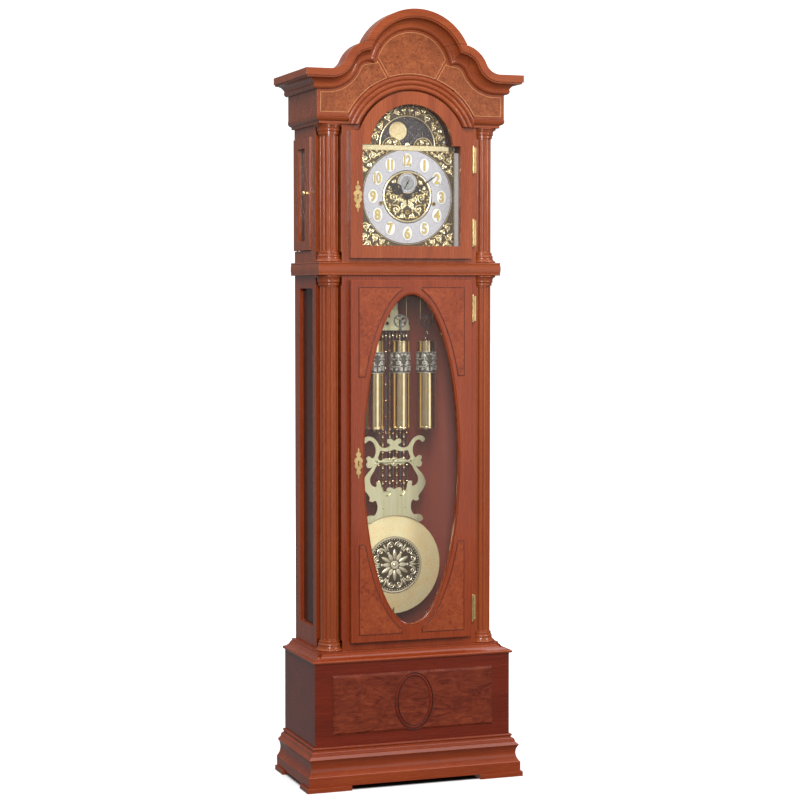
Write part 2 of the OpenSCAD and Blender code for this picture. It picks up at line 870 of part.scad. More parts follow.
module moon_disc() {
  color("midnightblue") {
    front(dial_front + dial_t + 1, dial_front + dial_t + 2.2) difference() {
      translate([0, moon_z]) circle(r = moon_disc_r);
      translate([0, moon_z]) circle(r = 4 + run);
    }
    for (a = [moon_a, moon_a + 180])
      rod_y(moon_out * cos(a), moon_z + moon_out * sin(a), moon_r,
            dial_front + dial_t + 0.2, dial_front + dial_t + 1);
  }
}

// A hand pointing along +Y of its drawing: shaft, pierced ornament and point
module hand(l, w, hub, root) {
  difference() {
    union() {
      circle(r = hub);
      rect([-1.4, 1.4], [0, l * 0.9]);
      both2() polygon(smooth([[0, root], [w * 0.55, root + w * 0.5], [w, root + w * 1.3],
                              [w * 0.6, root + w * 2.2], [w * 0.2, root + w * 2.9], [0, l],
                              [-0.4, root + w * 1.5]]));
    }
    for (s = [-1, 1]) translate([s * w * 0.48, root + w * 1.35]) circle(r = w * 0.26);
  }
}

hour_angle = 56;       // a little after ten
minute_angle = -54;    // nine minutes past
module hour_hand() {
  color("black") difference() {
    union() {
      front(dial_front - 6, dial_front - 4.6) translate([0, dial_z]) rotate(hour_angle) hand(66, 15, 8, 18);
      rod_y(0, dial_z, 4.6, dial_front - 6, plate_front[0] - 3);
    }
    rod_y(0, dial_z, 3 + run, dial_front - 10, 0);
  }
}

module minute_hand() {
  color("black") {
    front(dial_front - 9.4, dial_front - 8) translate([0, dial_z]) rotate(minute_angle) hand(104, 11, 6, 24);
    rod_y(0, dial_z, 3, dial_front - 12, -30);
    rod_y(0, dial_z, 18, -39, -36);
  }
}

module seconds_hand() {
  color("black") {
    front(dial_front - 4, dial_front - 3) translate([0, seconds_z]) rotate(150) {
      circle(r = 2.6);
      polygon([[-1.1, -9], [1.1, -9], [0.6, 23], [-0.6, 23]]);
    }
    rod_y(0, seconds_z, 1.2, dial_front - 4.5, -8);
  }
}

module escape_wheel() {
  teeth = 30;
  color("gold") front(-12, -10) translate([0, seconds_z]) difference() {
    union() {
      circle(r = 17);
      for (k = [0 : teeth - 1]) rotate(k * 360 / teeth)
        polygon([[16, -0.9], [20, 0.4], [16, 0.9]]);
    }
    for (k = [0 : 3]) rotate(k * 90 + 45) translate([9.5, 0]) circle(r = 4);
    circle(r = 1.2);
  }
}

// ---------------------------------------------------------------- movement

// Board that carries the movement, notched round the posts, on two bearers
module seat_board() {
  top = 1480;
  t = 18;
  post_back = notch_y + post_t + gap;
  color("sienna") {
    difference() {
      plan(top - t, top) {
        rect([post_t + gap - stile_out, stile_out - post_t - gap], [-50, 20]);
        rect([0.3 - inner_hw, inner_hw - 0.3], [post_back, 20]);
      }
      for (x = [-weight_x, 0, weight_x])
        block([x - 26, x + 26], [weight_y - 5, weight_y + 5], [top - t - 1, top + 1]);
    }
    both() block([inner_hw - 22, inner_hw - 0.3], [post_back, 60], [top - t - 20, top - t - gap]);
  }
}

module movement_plates() {
  pivots = concat([for (p = winding) [p[0], p[1], 3]], [[0, seconds_z, 1.2]]);
  color("goldenrod") {
    difference() {
      union() {
        front(plate_front[0], plate_front[1]) rect([-118, 118], [1480, 1750]);
        front(plate_back[0], plate_back[1]) rect([-118, 118], [1480, 1750]);
      }
      for (p = pivots) rod_y(p[0], p[1], p[2] + run, -60, 20);
      rod_y(0, dial_z, 4.6 + run, -60, -30);
      rod_y(0, pivot_z, 2 + run, -60, 20);
    }
    for (x = [-108, 108], z = [1492, 1738]) rod_y(x, z, 5, plate_front[1], plate_back[0]);
    // posts that hold the fixed ends of the three cables
    for (p = winding) rod_y(p[0] + cable_r, p[1] + cable_post, 2.5, plate_front[1], plate_back[0]);
    // bracket of the pendulum's suspension
    for (s = [-1, 1]) block([s * 9 - 3, s * 9 + 3], [plate_back[1], 46], [pivot_z + 6, pivot_z + 14]);
    block([-12, 12], [34, 46], [pivot_z + 6, pivot_z + 14]);
    // moon disc stud
    rod_y(0, moon_z, 4, dial_front + dial_t + 0.6, plate_front[1]);
    block([-10, 10], [plate_front[0], plate_front[1]], [1749, 1780]);
  }
}

// Four nested cup bells on one rod, on a stand across the tops of the plates
module bells() {
  axis_z = 1796;
  rod_r = 2;
  rod_x = [-64, 40];
  plate_top = 1750;
  color("goldenrod") {
    for (k = [0 : 3]) {
      r = 34 - 4 * k;
      translate([12 * k - 20, 0, axis_z]) rotate([0, -90, 0]) rotate_extrude() intersection() {
        difference() {
          circle(r = r);
          circle(r = r - 2);
        }
        rect([rod_r + run, r], [0, r]);
      }
    }
    translate([rod_x[0], 0, axis_z]) rotate([0, 90, 0]) cylinder(h = rod_x[1] - rod_x[0], r = rod_r);
    for (x = rod_x) {
      block([x - 2, x + 2], [-4, 4], [plate_top + 4, axis_z + 5]);
      block([x - 4, x + 4], [plate_front[0], plate_back[1]], [plate_top, plate_top + 4]);
    }
  }
}

// Cable drum with its winding square; axis along Y
module barrel(p) {
  color("goldenrod") {
    rod_y(p[0], p[1], cable_r - cable_d / 2 - 0.1, -38, 4);
    rod_y(p[0], p[1], cable_r + 5, 4, 7);
    rod_y(p[0], p[1], cable_r + 5, -41, -38);
    rod_y(p[0], p[1], 3, -66, 15);
    translate([p[0], -66, p[1]]) cube([4, 8, 4], center = true);
  }
}
module barrel_left() { barrel(winding[0]); }
module barrel_centre() { barrel(winding[1]); }
module barrel_right() { barrel(winding[2]); }

// The two straight falls of one cable, from the pulley's centre height up to the fixed post
module cable(p) {
  color("gold") for (s = [-1, 1]) translate([p[0] + s * cable_r, weight_y, pulley_z])
    cylinder(h = p[1] + cable_post - 2.5 - pulley_z, r = cable_d / 2, $fn = 24);
}
module cable_left() { cable(winding[0]); }
module cable_centre() { cable(winding[1]); }
module cable_right() { cable(winding[2]); }

module weight(x) {
  color("gold") translate([x, weight_y, 0]) {
    translate([0, 0, weight_z[0]]) rotate_extrude() {
      h = weight_z[1] - weight_z[0];
      rect([0, weight_r - 0.6], [0, h]);
      rect([0, weight_r], [0, 6]);
      rect([0, weight_r], [h - 6, h]);
      rect([0, 4], [-6, 0]);
    }
    // hook, pulley cheeks and the turn of cable under the wheel
    translate([0, 0, weight_z[1]]) cylinder(h = 12, r = 4);
    block([-2.5, 2.5], [-2, 2], [weight_z[1] + 10, pulley_z - 21]);
    translate([0, 0, pulley_z]) rotate([90, 0, 0]) {
      rotate_extrude() difference() {
        rect([cable_r - 3.4, cable_r + 1], [-2, 2]);
        translate([cable_r + 0.5, 0]) circle(r = cable_d / 2 + 0.5, $fn = 32);
      }
      for (k = [0 : 2]) rotate(k * 60 + 30) cube([2 * cable_r - 5, 2, 2.4], center = true);
      cylinder(h = 7, r = 3, center = true);
    }
    for (y = [-4.6, 3]) translate([0, y, 0]) block([-3, 3], [0, 1.6], [pulley_z - 24, pulley_z + 4]);
    block([-3, 3], [-4.6, 4.6], [pulley_z - 26, pulley_z - 22]);
  }
}
module weight_left() { weight(-weight_x); }
module weight_centre() { weight(0); }
module weight_right() { weight(weight_x); }

// ---------------------------------------------------------------- pendulum

// Anchor with its two pallets above the escape wheel, arbor, crutch and fork
module anchor_crutch() {
  color("gray") {
    front(-13, -9) translate([0, pivot_z]) difference() {
      union() {
        circle(r = 5);
        both2() polygon([[0, 4], [14, -1], [21, -12], [17, -14], [12, -6], [0, -3]]);
      }
      circle(r = 1.9);
    }
    rod_y(0, pivot_z, 2, -50, 24);
    block([-2, 2], [20, 23], [pivot_z - 90, pivot_z]);
    for (s = [-1, 1]) block([s * 16 - 1.5, s * 16 + 1.5], [20, 46], [pivot_z - 90, pivot_z - 84]);
    block([-17, 17], [20, 23], [pivot_z - 90, pivot_z - 84]);
  }
}

module pendulum_rods() {
  rods = 9;
  pitch = 10.6;
  half_w = 47;
  rods_foot = 792;
  rods_top = 1264;
  color("goldenrod") {
    block([-12, 12], [37, 39], [1284, pivot_z + 2]);
    // head plate with its two pierced rounds
    front(34, 37) difference() {
      union() {
        rect([-half_w, half_w], [rods_top - 4, rods_top + 9]);
        rect([-12, 12], [rods_top - 2, 1318]);
        both2() translate([27, 1284]) circle(r = 17);
      }
      both2() for (d = [[-6, 4], [6, -3]]) translate([27 + d[0], 1286 + d[1]]) circle(r = 5.5, $fn = 32);
    }
    for (k = [0 : rods - 1]) translate([(k - (rods - 1) / 2) * pitch, rod_y, rods_foot])
      cylinder(h = rods_top - rods_foot, r = 3, $fn = 24);
    block([-half_w, half_w], [37, 46], [rods_top - 2, rods_top + 12]);
    block([-half_w, half_w], [lyre_y[1], 46], [rods_foot - 2, rods_foot + 10]);
    translate([0, bob_y, bob_z + bob_r]) cylinder(h = rods_foot - bob_z - bob_r, r = 4);
    // threaded end and rating nut below the bob
    translate([0, bob_y, 438]) cylinder(h = 20, r = 4);
    translate([0, bob_y, 440]) cylinder(h = 6, r = 9);
  }
}

// Right halves of the lyre's outline and of its two openings, from the bottom up
lyre_half = [[30, 708], [60, 710], [86, 717], [84, 730], [72, 735], [59, 735], [51, 750], [51, 766],
             [57, 777], [65, 773], [75, 777], [74, 788], [90, 810], [95, 828], [86, 848], [72, 864],
             [66, 873], [73, 870], [82, 873], [84, 882], [80, 888], [84, 898], [76, 904], [66, 897],
             [60, 902], [56, 914], [57, 930], [66, 945], [77, 948], [86, 941], [93, 948], [88, 957],
             [74, 960], [59, 953], [49, 941], [41, 930], [26, 926], [11, 934], [20, 940], [20, 950],
             [10, 952], [2, 946]];
lyre_top_opening = [[4, 899], [11, 894], [26, 897], [42, 890], [49, 898], [46, 906], [41, 918],
                    [26, 916], [10, 918], [3, 921]];
lyre_opening = [[2, 809], [10, 813], [20, 812], [23, 806], [20, 802], [11, 800], [13, 793], [22, 788],
                [30, 795], [37, 810], [40, 824], [45, 831], [54, 829], [53, 820], [57, 816],
                [68, 821], [73, 835], [70, 847], [61, 861], [53, 876], [40, 884], [26, 878],
                [11, 880], [4, 874]];
function mirrored(p) = [for (i = [len(p) - 1 : -1 : 0]) [-p[i][0], p[i][1]]];
module symmetric(half) { polygon(smooth(concat(half, mirrored(half)), 3)); }

module pendulum_lyre() {
  color("gold") front(lyre_y[0], lyre_y[1]) difference() {
    symmetric(lyre_half);
    symmetric(lyre_top_opening);
    symmetric(lyre_opening);
    // foot cut to the rim of the bob, which hangs in front of it
    translate([0, bob_z]) circle(r = bob_r + 0.5);
    both2() {
      translate([51, 887]) circle(r = 2.5, $fn = 24);
      translate([33, 755]) circle(r = 2, $fn = 24);
    }
  }
}

// Lens-shaped bob; its half thickness falls off as a circle's cap does
bob_half_t = 13;
medallion_r = 81;
medallion_back = 9.7;
module pendulum_bob() {
  steps = 14;
  cap_r = (pow(bob_r, 2) + pow(bob_half_t, 2)) / (2 * bob_half_t);
  caps = [for (k = [0 : steps]) let (r = bob_r * k / steps)
            [r, sqrt(pow(cap_r, 2) - pow(r, 2)) - cap_r + bob_half_t]];
  color("gold") difference() {
    turned(0, bob_z, bob_y) polygon(concat([for (c = caps) [c[0], c[1] + 1]],
                                           [for (k = [steps : -1 : 0]) [caps[k][0], -caps[k][1] - 1]]));
    // hole for the threaded end, with clearance
    translate([0, bob_y, bob_z - bob_r - 5]) cylinder(h = 25, r = 4 + gap);
    // flat seat of the medallion
    turned(0, bob_z, bob_y - medallion_back) rect([0, medallion_r + 0.2], [0, 20]);
  }
}

module bob_medallion() {
  color("darkgoldenrod") turned(0, bob_z, bob_y - medallion_back) {
    rect([0, medallion_r - 3], [0, 5]);
    rect([0, medallion_r], [0, 3]);
    translate([medallion_r - 3, 3]) circle(r = 3);
    rect([0, 30], [0, 8]);
  }
}

// ---------------------------------------------------------------- output

feet();
base_moulding();
plinth_panels();
plinth_burl_panel();
plinth_top_board();
back_panel();
trunk_sides();
trunk_side_glass();
trunk_front_frame();
columns();
waist_moulding();
hood_sides();
hood_front_frame();
neck_moulding();
frieze_boards();
frieze_burl_panels();
crown_moulding();
roof_board();
seat_board();
hinge_posts();
hinge_pins();
movement_plates();
bells();
dial_plate();
chapter_ring();
dial_ornaments();
trunk_door();
trunk_door_burl();
trunk_door_glass();
trunk_door_escutcheon();
trunk_door_hinge_leaves();
hood_door();
hood_door_glass();
hood_door_escutcheon();
hood_door_hinge_leaves();
left_side_door();
left_side_glass();
left_side_knob();
right_side_door();
right_side_glass();
right_side_knob();
hour_hand();
minute_hand();
seconds_hand();
escape_wheel();
moon_disc();
anchor_crutch();
pendulum_rods();
pendulum_lyre();
pendulum_bob();
bob_medallion();
weight_left();
weight_centre();
weight_right();
barrel_left();
barrel_centre();
barrel_right();
cable_left();
cable_centre();
cable_right();
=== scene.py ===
"""Longcase clock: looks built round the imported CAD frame. Metres, +Z up, front towards -Y."""

import math
import random

import bmesh
import bpy
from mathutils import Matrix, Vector


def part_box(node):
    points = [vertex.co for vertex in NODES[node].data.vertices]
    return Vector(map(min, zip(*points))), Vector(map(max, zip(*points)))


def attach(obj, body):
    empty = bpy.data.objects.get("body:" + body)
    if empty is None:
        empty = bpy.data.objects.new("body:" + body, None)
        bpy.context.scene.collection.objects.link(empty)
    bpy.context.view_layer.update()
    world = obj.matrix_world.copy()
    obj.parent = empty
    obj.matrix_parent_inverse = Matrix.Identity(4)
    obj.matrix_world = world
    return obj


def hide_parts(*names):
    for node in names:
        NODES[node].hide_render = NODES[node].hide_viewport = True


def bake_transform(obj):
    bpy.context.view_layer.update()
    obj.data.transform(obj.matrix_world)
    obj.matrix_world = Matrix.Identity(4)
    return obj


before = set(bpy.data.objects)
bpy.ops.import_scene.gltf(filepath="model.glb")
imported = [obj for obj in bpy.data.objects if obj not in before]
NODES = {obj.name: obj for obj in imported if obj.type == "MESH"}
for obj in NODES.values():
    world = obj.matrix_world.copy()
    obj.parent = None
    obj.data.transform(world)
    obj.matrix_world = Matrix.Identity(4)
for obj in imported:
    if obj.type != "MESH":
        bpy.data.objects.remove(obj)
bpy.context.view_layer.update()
MM = 0.001
TAU = 2 * math.pi

# Places read from the frame
RING_LOW, RING_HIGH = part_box("chapter_ring")
RING_R = (RING_HIGH.x - RING_LOW.x) / 2
DIAL_Z = RING_LOW.z + RING_R
RING_FRONT = RING_LOW.y
PLATE_LOW, PLATE_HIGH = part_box("dial_plate")
DIAL_FRONT = PLATE_LOW.y
DIAL_HW = PLATE_HIGH.x
ARCH_R = 115 * MM
ARCH_Z = PLATE_HIGH.z - ARCH_R
LUNETTE_R = 79 * MM
SECONDS = Vector((0, DIAL_Z + 38 * MM))
SECONDS_R = 27 * MM
HUMP_X, HUMP_Z, HUMP_R = 46 * MM, ARCH_Z - 6 * MM, 29 * MM
CROSS_BAR_Z = 1759 * MM

# Sections of raised lines, as (across, up) between -1 and 1
BEAD = ((-1, 0), (-0.75, 0.65), (0, 1), (0.75, 0.65), (1, 0))
ROUND_BEAD = ((-1, 0), (-0.7, 0.7), (0, 1), (0.7, 0.7), (1, 0))
RIDGE = ((-1, 0), (-0.6, 1), (0.6, 1), (1, 0))


def mm(*sizes):
    """Millimetres as metres."""
    return [size * MM for size in sizes]


def pairs(*points):
    """Pairs of millimetres, such as the (radius, forward) of a turned profile, as metres."""
    return [(a * MM, b * MM) for a, b in points]


def scaled(section, width, height):
    return [(width * s, height * t) for s, t in section]


def polar(r, a):
    return r * math.cos(a), r * math.sin(a)


def linked(name, data):
    """A new object in the scene."""
    obj = bpy.data.objects.new(name, data)
    bpy.context.scene.collection.objects.link(obj)
    return obj


# ---------------------------------------------------------------- materials


class Shader:
    """A node material with one Principled shader. Values are numbers, tuples or other nodes' outputs."""

    def __init__(self, name):
        self.mat = bpy.data.materials.new(name)
        self.mat.use_nodes = True
        self.tree = self.mat.node_tree
        self.bsdf = self.tree.nodes["Principled BSDF"]
        self.place = self.node("ShaderNodeTexCoord").outputs["Object"]

    def node(self, kind, _inputs=None, **props):
        n = self.tree.nodes.new(kind)
        for key, value in props.items():
            setattr(n, key, value)
        for key, value in (_inputs or {}).items():
            self.put(n, key, value)
        return n

    def put(self, n, key, value):
        if isinstance(value, bpy.types.NodeSocket):
            self.tree.links.new(value, n.inputs[key])
        else:
            n.inputs[key].default_value = value

    def set(self, **inputs):
        for key, value in inputs.items():
            self.put(self.bsdf, key.replace("_", " "), value)

    def noise(self, scale, detail=4.0, rough=0.5, distort=0.0, stretch=(1, 1, 1), co=None):
        mapped = self.node("ShaderNodeMapping", {"Vector": co or self.place, "Scale": stretch}).outputs[0]
        return self.node("ShaderNodeTexNoise", {"Vector": mapped, "Scale": scale, "Detail": detail,
                                                "Roughness": rough, "Distortion": distort}).outputs["Fac"]

    def ramp(self, fac, *stops):
        n = self.node("ShaderNodeValToRGB", {"Fac": fac})
        while len(n.color_ramp.elements) < len(stops):
            n.color_ramp.elements.new(0.5)
        for element, (at, colour) in zip(n.color_ramp.elements, stops):
            element.position = at
            element.color = (*colour, 1) if len(colour) == 3 else colour
        return n.outputs["Color"]

    def mix(self, fac, a, b):
        n = self.node("ShaderNodeMix", data_type="RGBA")
        self.put(n, 0, fac)
        for key, value in ((6, a), (7, b)):
            self.put(n, key, value if isinstance(value, bpy.types.NodeSocket) else (*value, 1))
        return n.outputs[2]

    def span(self, value, low, high, to_low=0.0, to_high=1.0):
        return self.node("ShaderNodeMapRange", {"Value": value, "From Min": low, "From Max": high,
                                                "To Min": to_low, "To Max": to_high}).outputs[0]

    def maths(self, operation, a, b=0.0):
        n = self.node("ShaderNodeMath", operation=operation)
        self.put(n, 0, a)
        self.put(n, 1, b)
        return n.outputs[0]

    def bump(self, height, strength, distance, normal=None):
        n = self.node("ShaderNodeBump", {"Height": height, "Strength": strength, "Distance": distance})
        if normal is not None:
            self.put(n, "Normal", normal)
        self.put(self.bsdf, "Normal", n.outputs[0])

    def rounded(self, radius):
        """(normal rounded over sharp edges, 1 at such an edge and 0 on the flat)"""
        soft = self.node("ShaderNodeBevel", {"Radius": radius}, samples=4).outputs[0]
        true = self.node("ShaderNodeNewGeometry").outputs["Normal"]
        dot = self.node("ShaderNodeVectorMath", operation="DOT_PRODUCT")
        self.put(dot, 0, soft)
        self.put(dot, 1, true)
        return soft, self.span(dot.outputs["Value"], 0.97, 0.8)


GRAIN = {"x": (0.05, 1, 1), "y": (1, 0.05, 1), "z": (1, 1, 0.05)}


def wood(name, dark, mid, light, grain="z", rough=0.24, edge=0.65):
    """Lacquered cherry: broad figure, fine fibres and pores along the grain, and a painted highlight along
    its edges.
    """
    s = Shader(name)
    stretch = GRAIN[grain]
    figure = s.noise(16, 3, 0.5, 1.4, stretch)
    fibre = s.noise(420, 5, 0.6, 0.3, stretch)
    pores = s.noise(1500, 2, 0.5, 0.0, stretch)
    blotch = s.noise(7, 2)
    tone = s.maths("ADD", s.maths("MULTIPLY", figure, 0.62), s.maths("MULTIPLY", fibre, 0.38))
    colour = s.ramp(tone, (0.20, dark), (0.50, mid), (0.80, light))
    colour = s.mix(s.span(blotch, 0.35, 0.7, 0, 0.25), colour, dark)
    colour = s.mix(s.span(pores, 0.62, 0.72, 0, 0.18), colour, tuple(0.55 * c for c in dark))
    soft, painted_edge_highlight = s.rounded(1.7 * MM)
    # painted highlight: edges are lightened towards a paler copy of the light tone, by the edge amount, as if
    # they caught the light
    colour = s.mix(s.maths("MULTIPLY", painted_edge_highlight, edge), colour, tuple(min(1, 1.7 * c) for c in light))
    s.set(Base_Color=colour, Roughness=s.span(fibre, 0.3, 0.7, rough - 0.05, rough + 0.08))
    s.set(Coat_Weight=0.22, Coat_Roughness=0.08, Specular_IOR_Level=0.3)
    s.bump(s.maths("SUBTRACT", fibre, s.span(pores, 0.6, 0.75, 0, 0.6)), 0.05, 0.2 * MM, soft)
    return s.mat


def burl(name, dark, mid, light, size=1.0, flow=(1, 1, 1)):
    """Burl veneer: curled fibres with small dark eyes, and a painted highlight along its edges."""
    s = Shader(name)
    swirl = s.noise(60 * size, 7, 0.62, 2.6, flow)
    wide = s.noise(17 * size, 3, 0.5, 1.5)
    eyes = s.node("ShaderNodeTexVoronoi", {"Vector": s.place, "Scale": 210 * size}).outputs["Distance"]
    tone = s.maths("ADD", s.maths("MULTIPLY", swirl, 0.7), s.maths("MULTIPLY", wide, 0.3))
    colour = s.ramp(tone, (0.32, dark), (0.47, mid), (0.66, light))
    colour = s.mix(s.span(eyes, 0.22, 0.05, 0, 0.4), colour, tuple(0.6 * c for c in dark))
    soft, painted_edge_highlight = s.rounded(0.8 * MM)
    # painted highlight: edges are lightened towards a paler copy of the light tone, as if they caught the
    # light
    colour = s.mix(s.maths("MULTIPLY", painted_edge_highlight, 0.4), colour, tuple(min(1, 1.5 * c) for c in light))
    s.set(Base_Color=colour, Roughness=s.span(swirl, 0.3, 0.7, 0.25, 0.38))
    s.set(Coat_Weight=0.15, Coat_Roughness=0.1, Specular_IOR_Level=0.3)
    s.bump(swirl, 0.12, 0.3 * MM, soft)
    return s.mat


def metal(name, low, high, rough, grain=(1, 1, 1), scale=60.0, bump=0.03, edge=0.0, metallic=1.0):
    """Metal whose colour and polish vary a little; grain stretches the marks of brushing."""
    s = Shader(name)
    cloud = s.noise(scale, 4, 0.55, 0.4, grain)
    fine = s.noise(scale * 18, 3, 0.6, 0, grain)
    s.set(Base_Color=s.ramp(cloud, (0.35, low), (0.65, high)), Metallic=metallic)
    s.set(Roughness=s.span(fine, 0.3, 0.7, rough * 0.75, rough * 1.3))
    normal = None
    if edge:
        normal, _ = s.rounded(edge)
    s.bump(fine, bump, 0.1 * MM, normal)
    return s.mat


def relief_metal(name, recess, face, y_low, y_high, rough=0.28, by_radius=None):
    """Cast relief whose recesses keep a dark patina; its raised parts, towards y_high, are bright."""
    s = Shader(name)
    xyz = s.node("ShaderNodeSeparateXYZ", {"Vector": s.place}).outputs
    height = xyz["Y"]
    if by_radius is not None:
        x = s.maths("SUBTRACT", xyz["X"], by_radius[0])
        y = s.maths("SUBTRACT", xyz["Y"], by_radius[1])
        height = s.maths("SQRT", s.maths("ADD", s.maths("MULTIPLY", x, x), s.maths("MULTIPLY", y, y)))
    grime = s.noise(260, 5, 0.6)
    level = s.span(height, y_low, y_high)
    level = s.maths("ADD", level, s.span(grime, 0.3, 0.7, -0.18, 0.18))
    s.set(Base_Color=s.ramp(level, (0.12, recess), (0.55, face)), Metallic=0.65)
    s.set(Roughness=s.span(level, 0.0, 0.8, 0.6, rough))
    s.bump(grime, 0.10, 0.15 * MM)
    return s.mat


def silvered(name):
    """Brushed silver dial with fine engraved scrolls between the cartouches."""
    s = Shader(name)
    swirl = s.noise(95, 1, 0.3, 2.4)
    waves = s.maths("ABSOLUTE", s.maths("SUBTRACT", s.maths("FRACT", s.maths("MULTIPLY", swirl, 11)), 0.5))
    lines = s.span(waves, 0.24, 0.06)
    fine = s.noise(900, 3)
    s.set(Base_Color=s.mix(s.maths("MULTIPLY", lines, 0.7), (0.66, 0.66, 0.68), (0.20, 0.20, 0.27)))
    s.set(Metallic=0.35, Roughness=s.span(fine, 0.3, 0.7, 0.30, 0.45))
    s.bump(lines, 0.2, -0.1 * MM)
    return s.mat


def starry(name):
    """Painted night sky: deep brown-black with gold dust."""
    s = Shader(name)
    cells = s.node("ShaderNodeTexVoronoi", {"Vector": s.place, "Scale": 260.0, "Randomness": 1.0}).outputs
    dust = s.noise(120, 4)
    dots = s.maths("MULTIPLY", s.span(cells["Distance"], 0.28, 0.12), s.span(dust, 0.42, 0.6))
    sky = s.ramp(s.noise(45, 4, 0.6, 1.0), (0.3, (0.010, 0.010, 0.016)), (0.7, (0.05, 0.045, 0.05)))
    s.set(Base_Color=s.mix(dots, sky, (0.75, 0.68, 0.50)), Roughness=s.span(dust, 0.3, 0.7, 0.35, 0.5))
    return s.mat


def pane(name, tint, alpha):
    """Thin glass; alpha is how much its tint hides. Faint waves keep its gloss from being perfect."""
    s = Shader(name)
    wave = s.noise(6, 2)
    s.set(Base_Color=s.ramp(wave, (0.3, tint), (0.7, tuple(min(1, 1.06 * c) for c in tint))))
    s.set(Roughness=s.span(wave, 0.3, 0.7, 0.01, 0.03), Alpha=alpha, IOR=1.5)
    s.bump(wave, 0.02, 0.4 * MM)
    return s.mat


def enamel(name, colour, rough=0.3):
    """Paint of one colour with a faint cloud in it."""
    s = Shader(name)
    cloud = s.noise(300, 4)
    s.set(Base_Color=s.ramp(cloud, (0.3, tuple(0.85 * c for c in colour)), (0.7, colour)))
    s.set(Roughness=s.span(cloud, 0.3, 0.7, rough * 0.8, rough * 1.2))
    s.bump(cloud, 0.04, 0.1 * MM)
    return s.mat


CHERRY = dict(dark=(0.135, 0.017, 0.004), mid=(0.225, 0.034, 0.007), light=(0.310, 0.058, 0.013))
WARM = dict(dark=(0.155, 0.026, 0.007), mid=(0.255, 0.051, 0.013), light=(0.345, 0.082, 0.022))
DEEP = dict(dark=(0.075, 0.007, 0.002), mid=(0.135, 0.013, 0.003), light=(0.190, 0.023, 0.006))
M = {
    "cherry_z": wood("cherry_upright", grain="z", **CHERRY),
    "cherry_x": wood("cherry_level", grain="x", **CHERRY),
    "warm_z": wood("warm_cherry_upright", grain="z", **WARM),
    "warm_x": wood("warm_cherry_level", grain="x", **WARM),
    "deep_x": wood("deep_cherry_level", grain="x", **DEEP),
    "inside": wood("inside_wood", (0.17, 0.026, 0.013), (0.25, 0.044, 0.022), (0.34, 0.070, 0.036),
                   rough=0.4),
    "burl": burl("frieze_burl", (0.110, 0.024, 0.006), (0.215, 0.050, 0.013), (0.345, 0.094, 0.027)),
    "door_burl": burl("door_burl", (0.130, 0.019, 0.005), (0.220, 0.037, 0.009), (0.310, 0.064, 0.016), 0.7),
    "plinth_burl": burl("plinth_burl", (0.060, 0.007, 0.002), (0.120, 0.016, 0.005), (0.210, 0.036, 0.011),
                        0.6, (0.4, 1, 1.3)),
    "inlay": wood("inlay_line", (0.40, 0.16, 0.06), (0.56, 0.25, 0.10), (0.68, 0.34, 0.15), "x", edge=0.1),
    # painted shade: nearly black wood for raised lines laid where grooves lie in shade
    "groove": wood("groove_shade_line", (0.05, 0.010, 0.006), (0.085, 0.016, 0.008), (0.12, 0.025, 0.012),
                   "x", 0.5, 0.05),
    # painted reflection: the clear panes' pale tint, at alpha 0.06, lays a faint even veil over them
    "glass": pane("clear_glass", (0.30, 0.24, 0.22), 0.06),
    # painted shade: the side panes are nearly black and almost half opaque, standing in for the dark inside
    # of the case
    "side_glass": pane("side_glass", (0.05, 0.03, 0.025), 0.45),
    "brass": metal("polished_brass", (0.96, 0.72, 0.34), (1.0, 0.84, 0.50), 0.14, edge=0.5 * MM),
    "pale_brass": metal("pale_brass", (0.80, 0.76, 0.42), (0.93, 0.90, 0.60), 0.36,
                        (1, 1, 0.08), 90, 0.05, 0.5 * MM),
    "bob_brass": metal("bob_brass", (1.0, 0.80, 0.40), (1.0, 0.89, 0.50), 0.30, scale=30, metallic=0.25),
    "gilt": metal("gilt", (0.95, 0.78, 0.40), (1.0, 0.92, 0.62), 0.26, scale=140),
    "works": metal("works_brass", (0.66, 0.50, 0.24), (0.80, 0.64, 0.34), 0.34, (1, 1, 0.1), 70, 0.05),
    "steel": metal("dark_steel", (0.10, 0.10, 0.11), (0.20, 0.20, 0.21), 0.30, (1, 1, 0.1), 120),
    "grey": metal("grey_steel", (0.34, 0.35, 0.34), (0.46, 0.47, 0.46), 0.38, (1, 1, 0.1), 90),
    "black": enamel("black_lacquer", (0.012, 0.012, 0.013), 0.25),
    "patina": enamel("dial_ground", (0.075, 0.055, 0.022), 0.45),
    "strip": enamel("painted_strip", (0.50, 0.51, 0.50), 0.4),
    "white": enamel("cartouche_white", (0.86, 0.86, 0.82), 0.35),
    "silver": silvered("silvered_ring"),
    "sky": starry("moon_sky"),
    "moon": metal("moon_gold", (0.90, 0.70, 0.34), (1.0, 0.86, 0.52), 0.32, scale=120, bump=0.3),
    "hinge": metal("hinge_brass", (0.56, 0.38, 0.15), (0.72, 0.52, 0.24), 0.28, edge=0.4 * MM),
    "numeral": enamel("numeral_gold", (0.66, 0.50, 0.13), 0.3),
    "cable": metal("cable_wire", (0.62, 0.48, 0.22), (0.82, 0.68, 0.38), 0.3, (1, 1, 1), 900, 0.3),
}

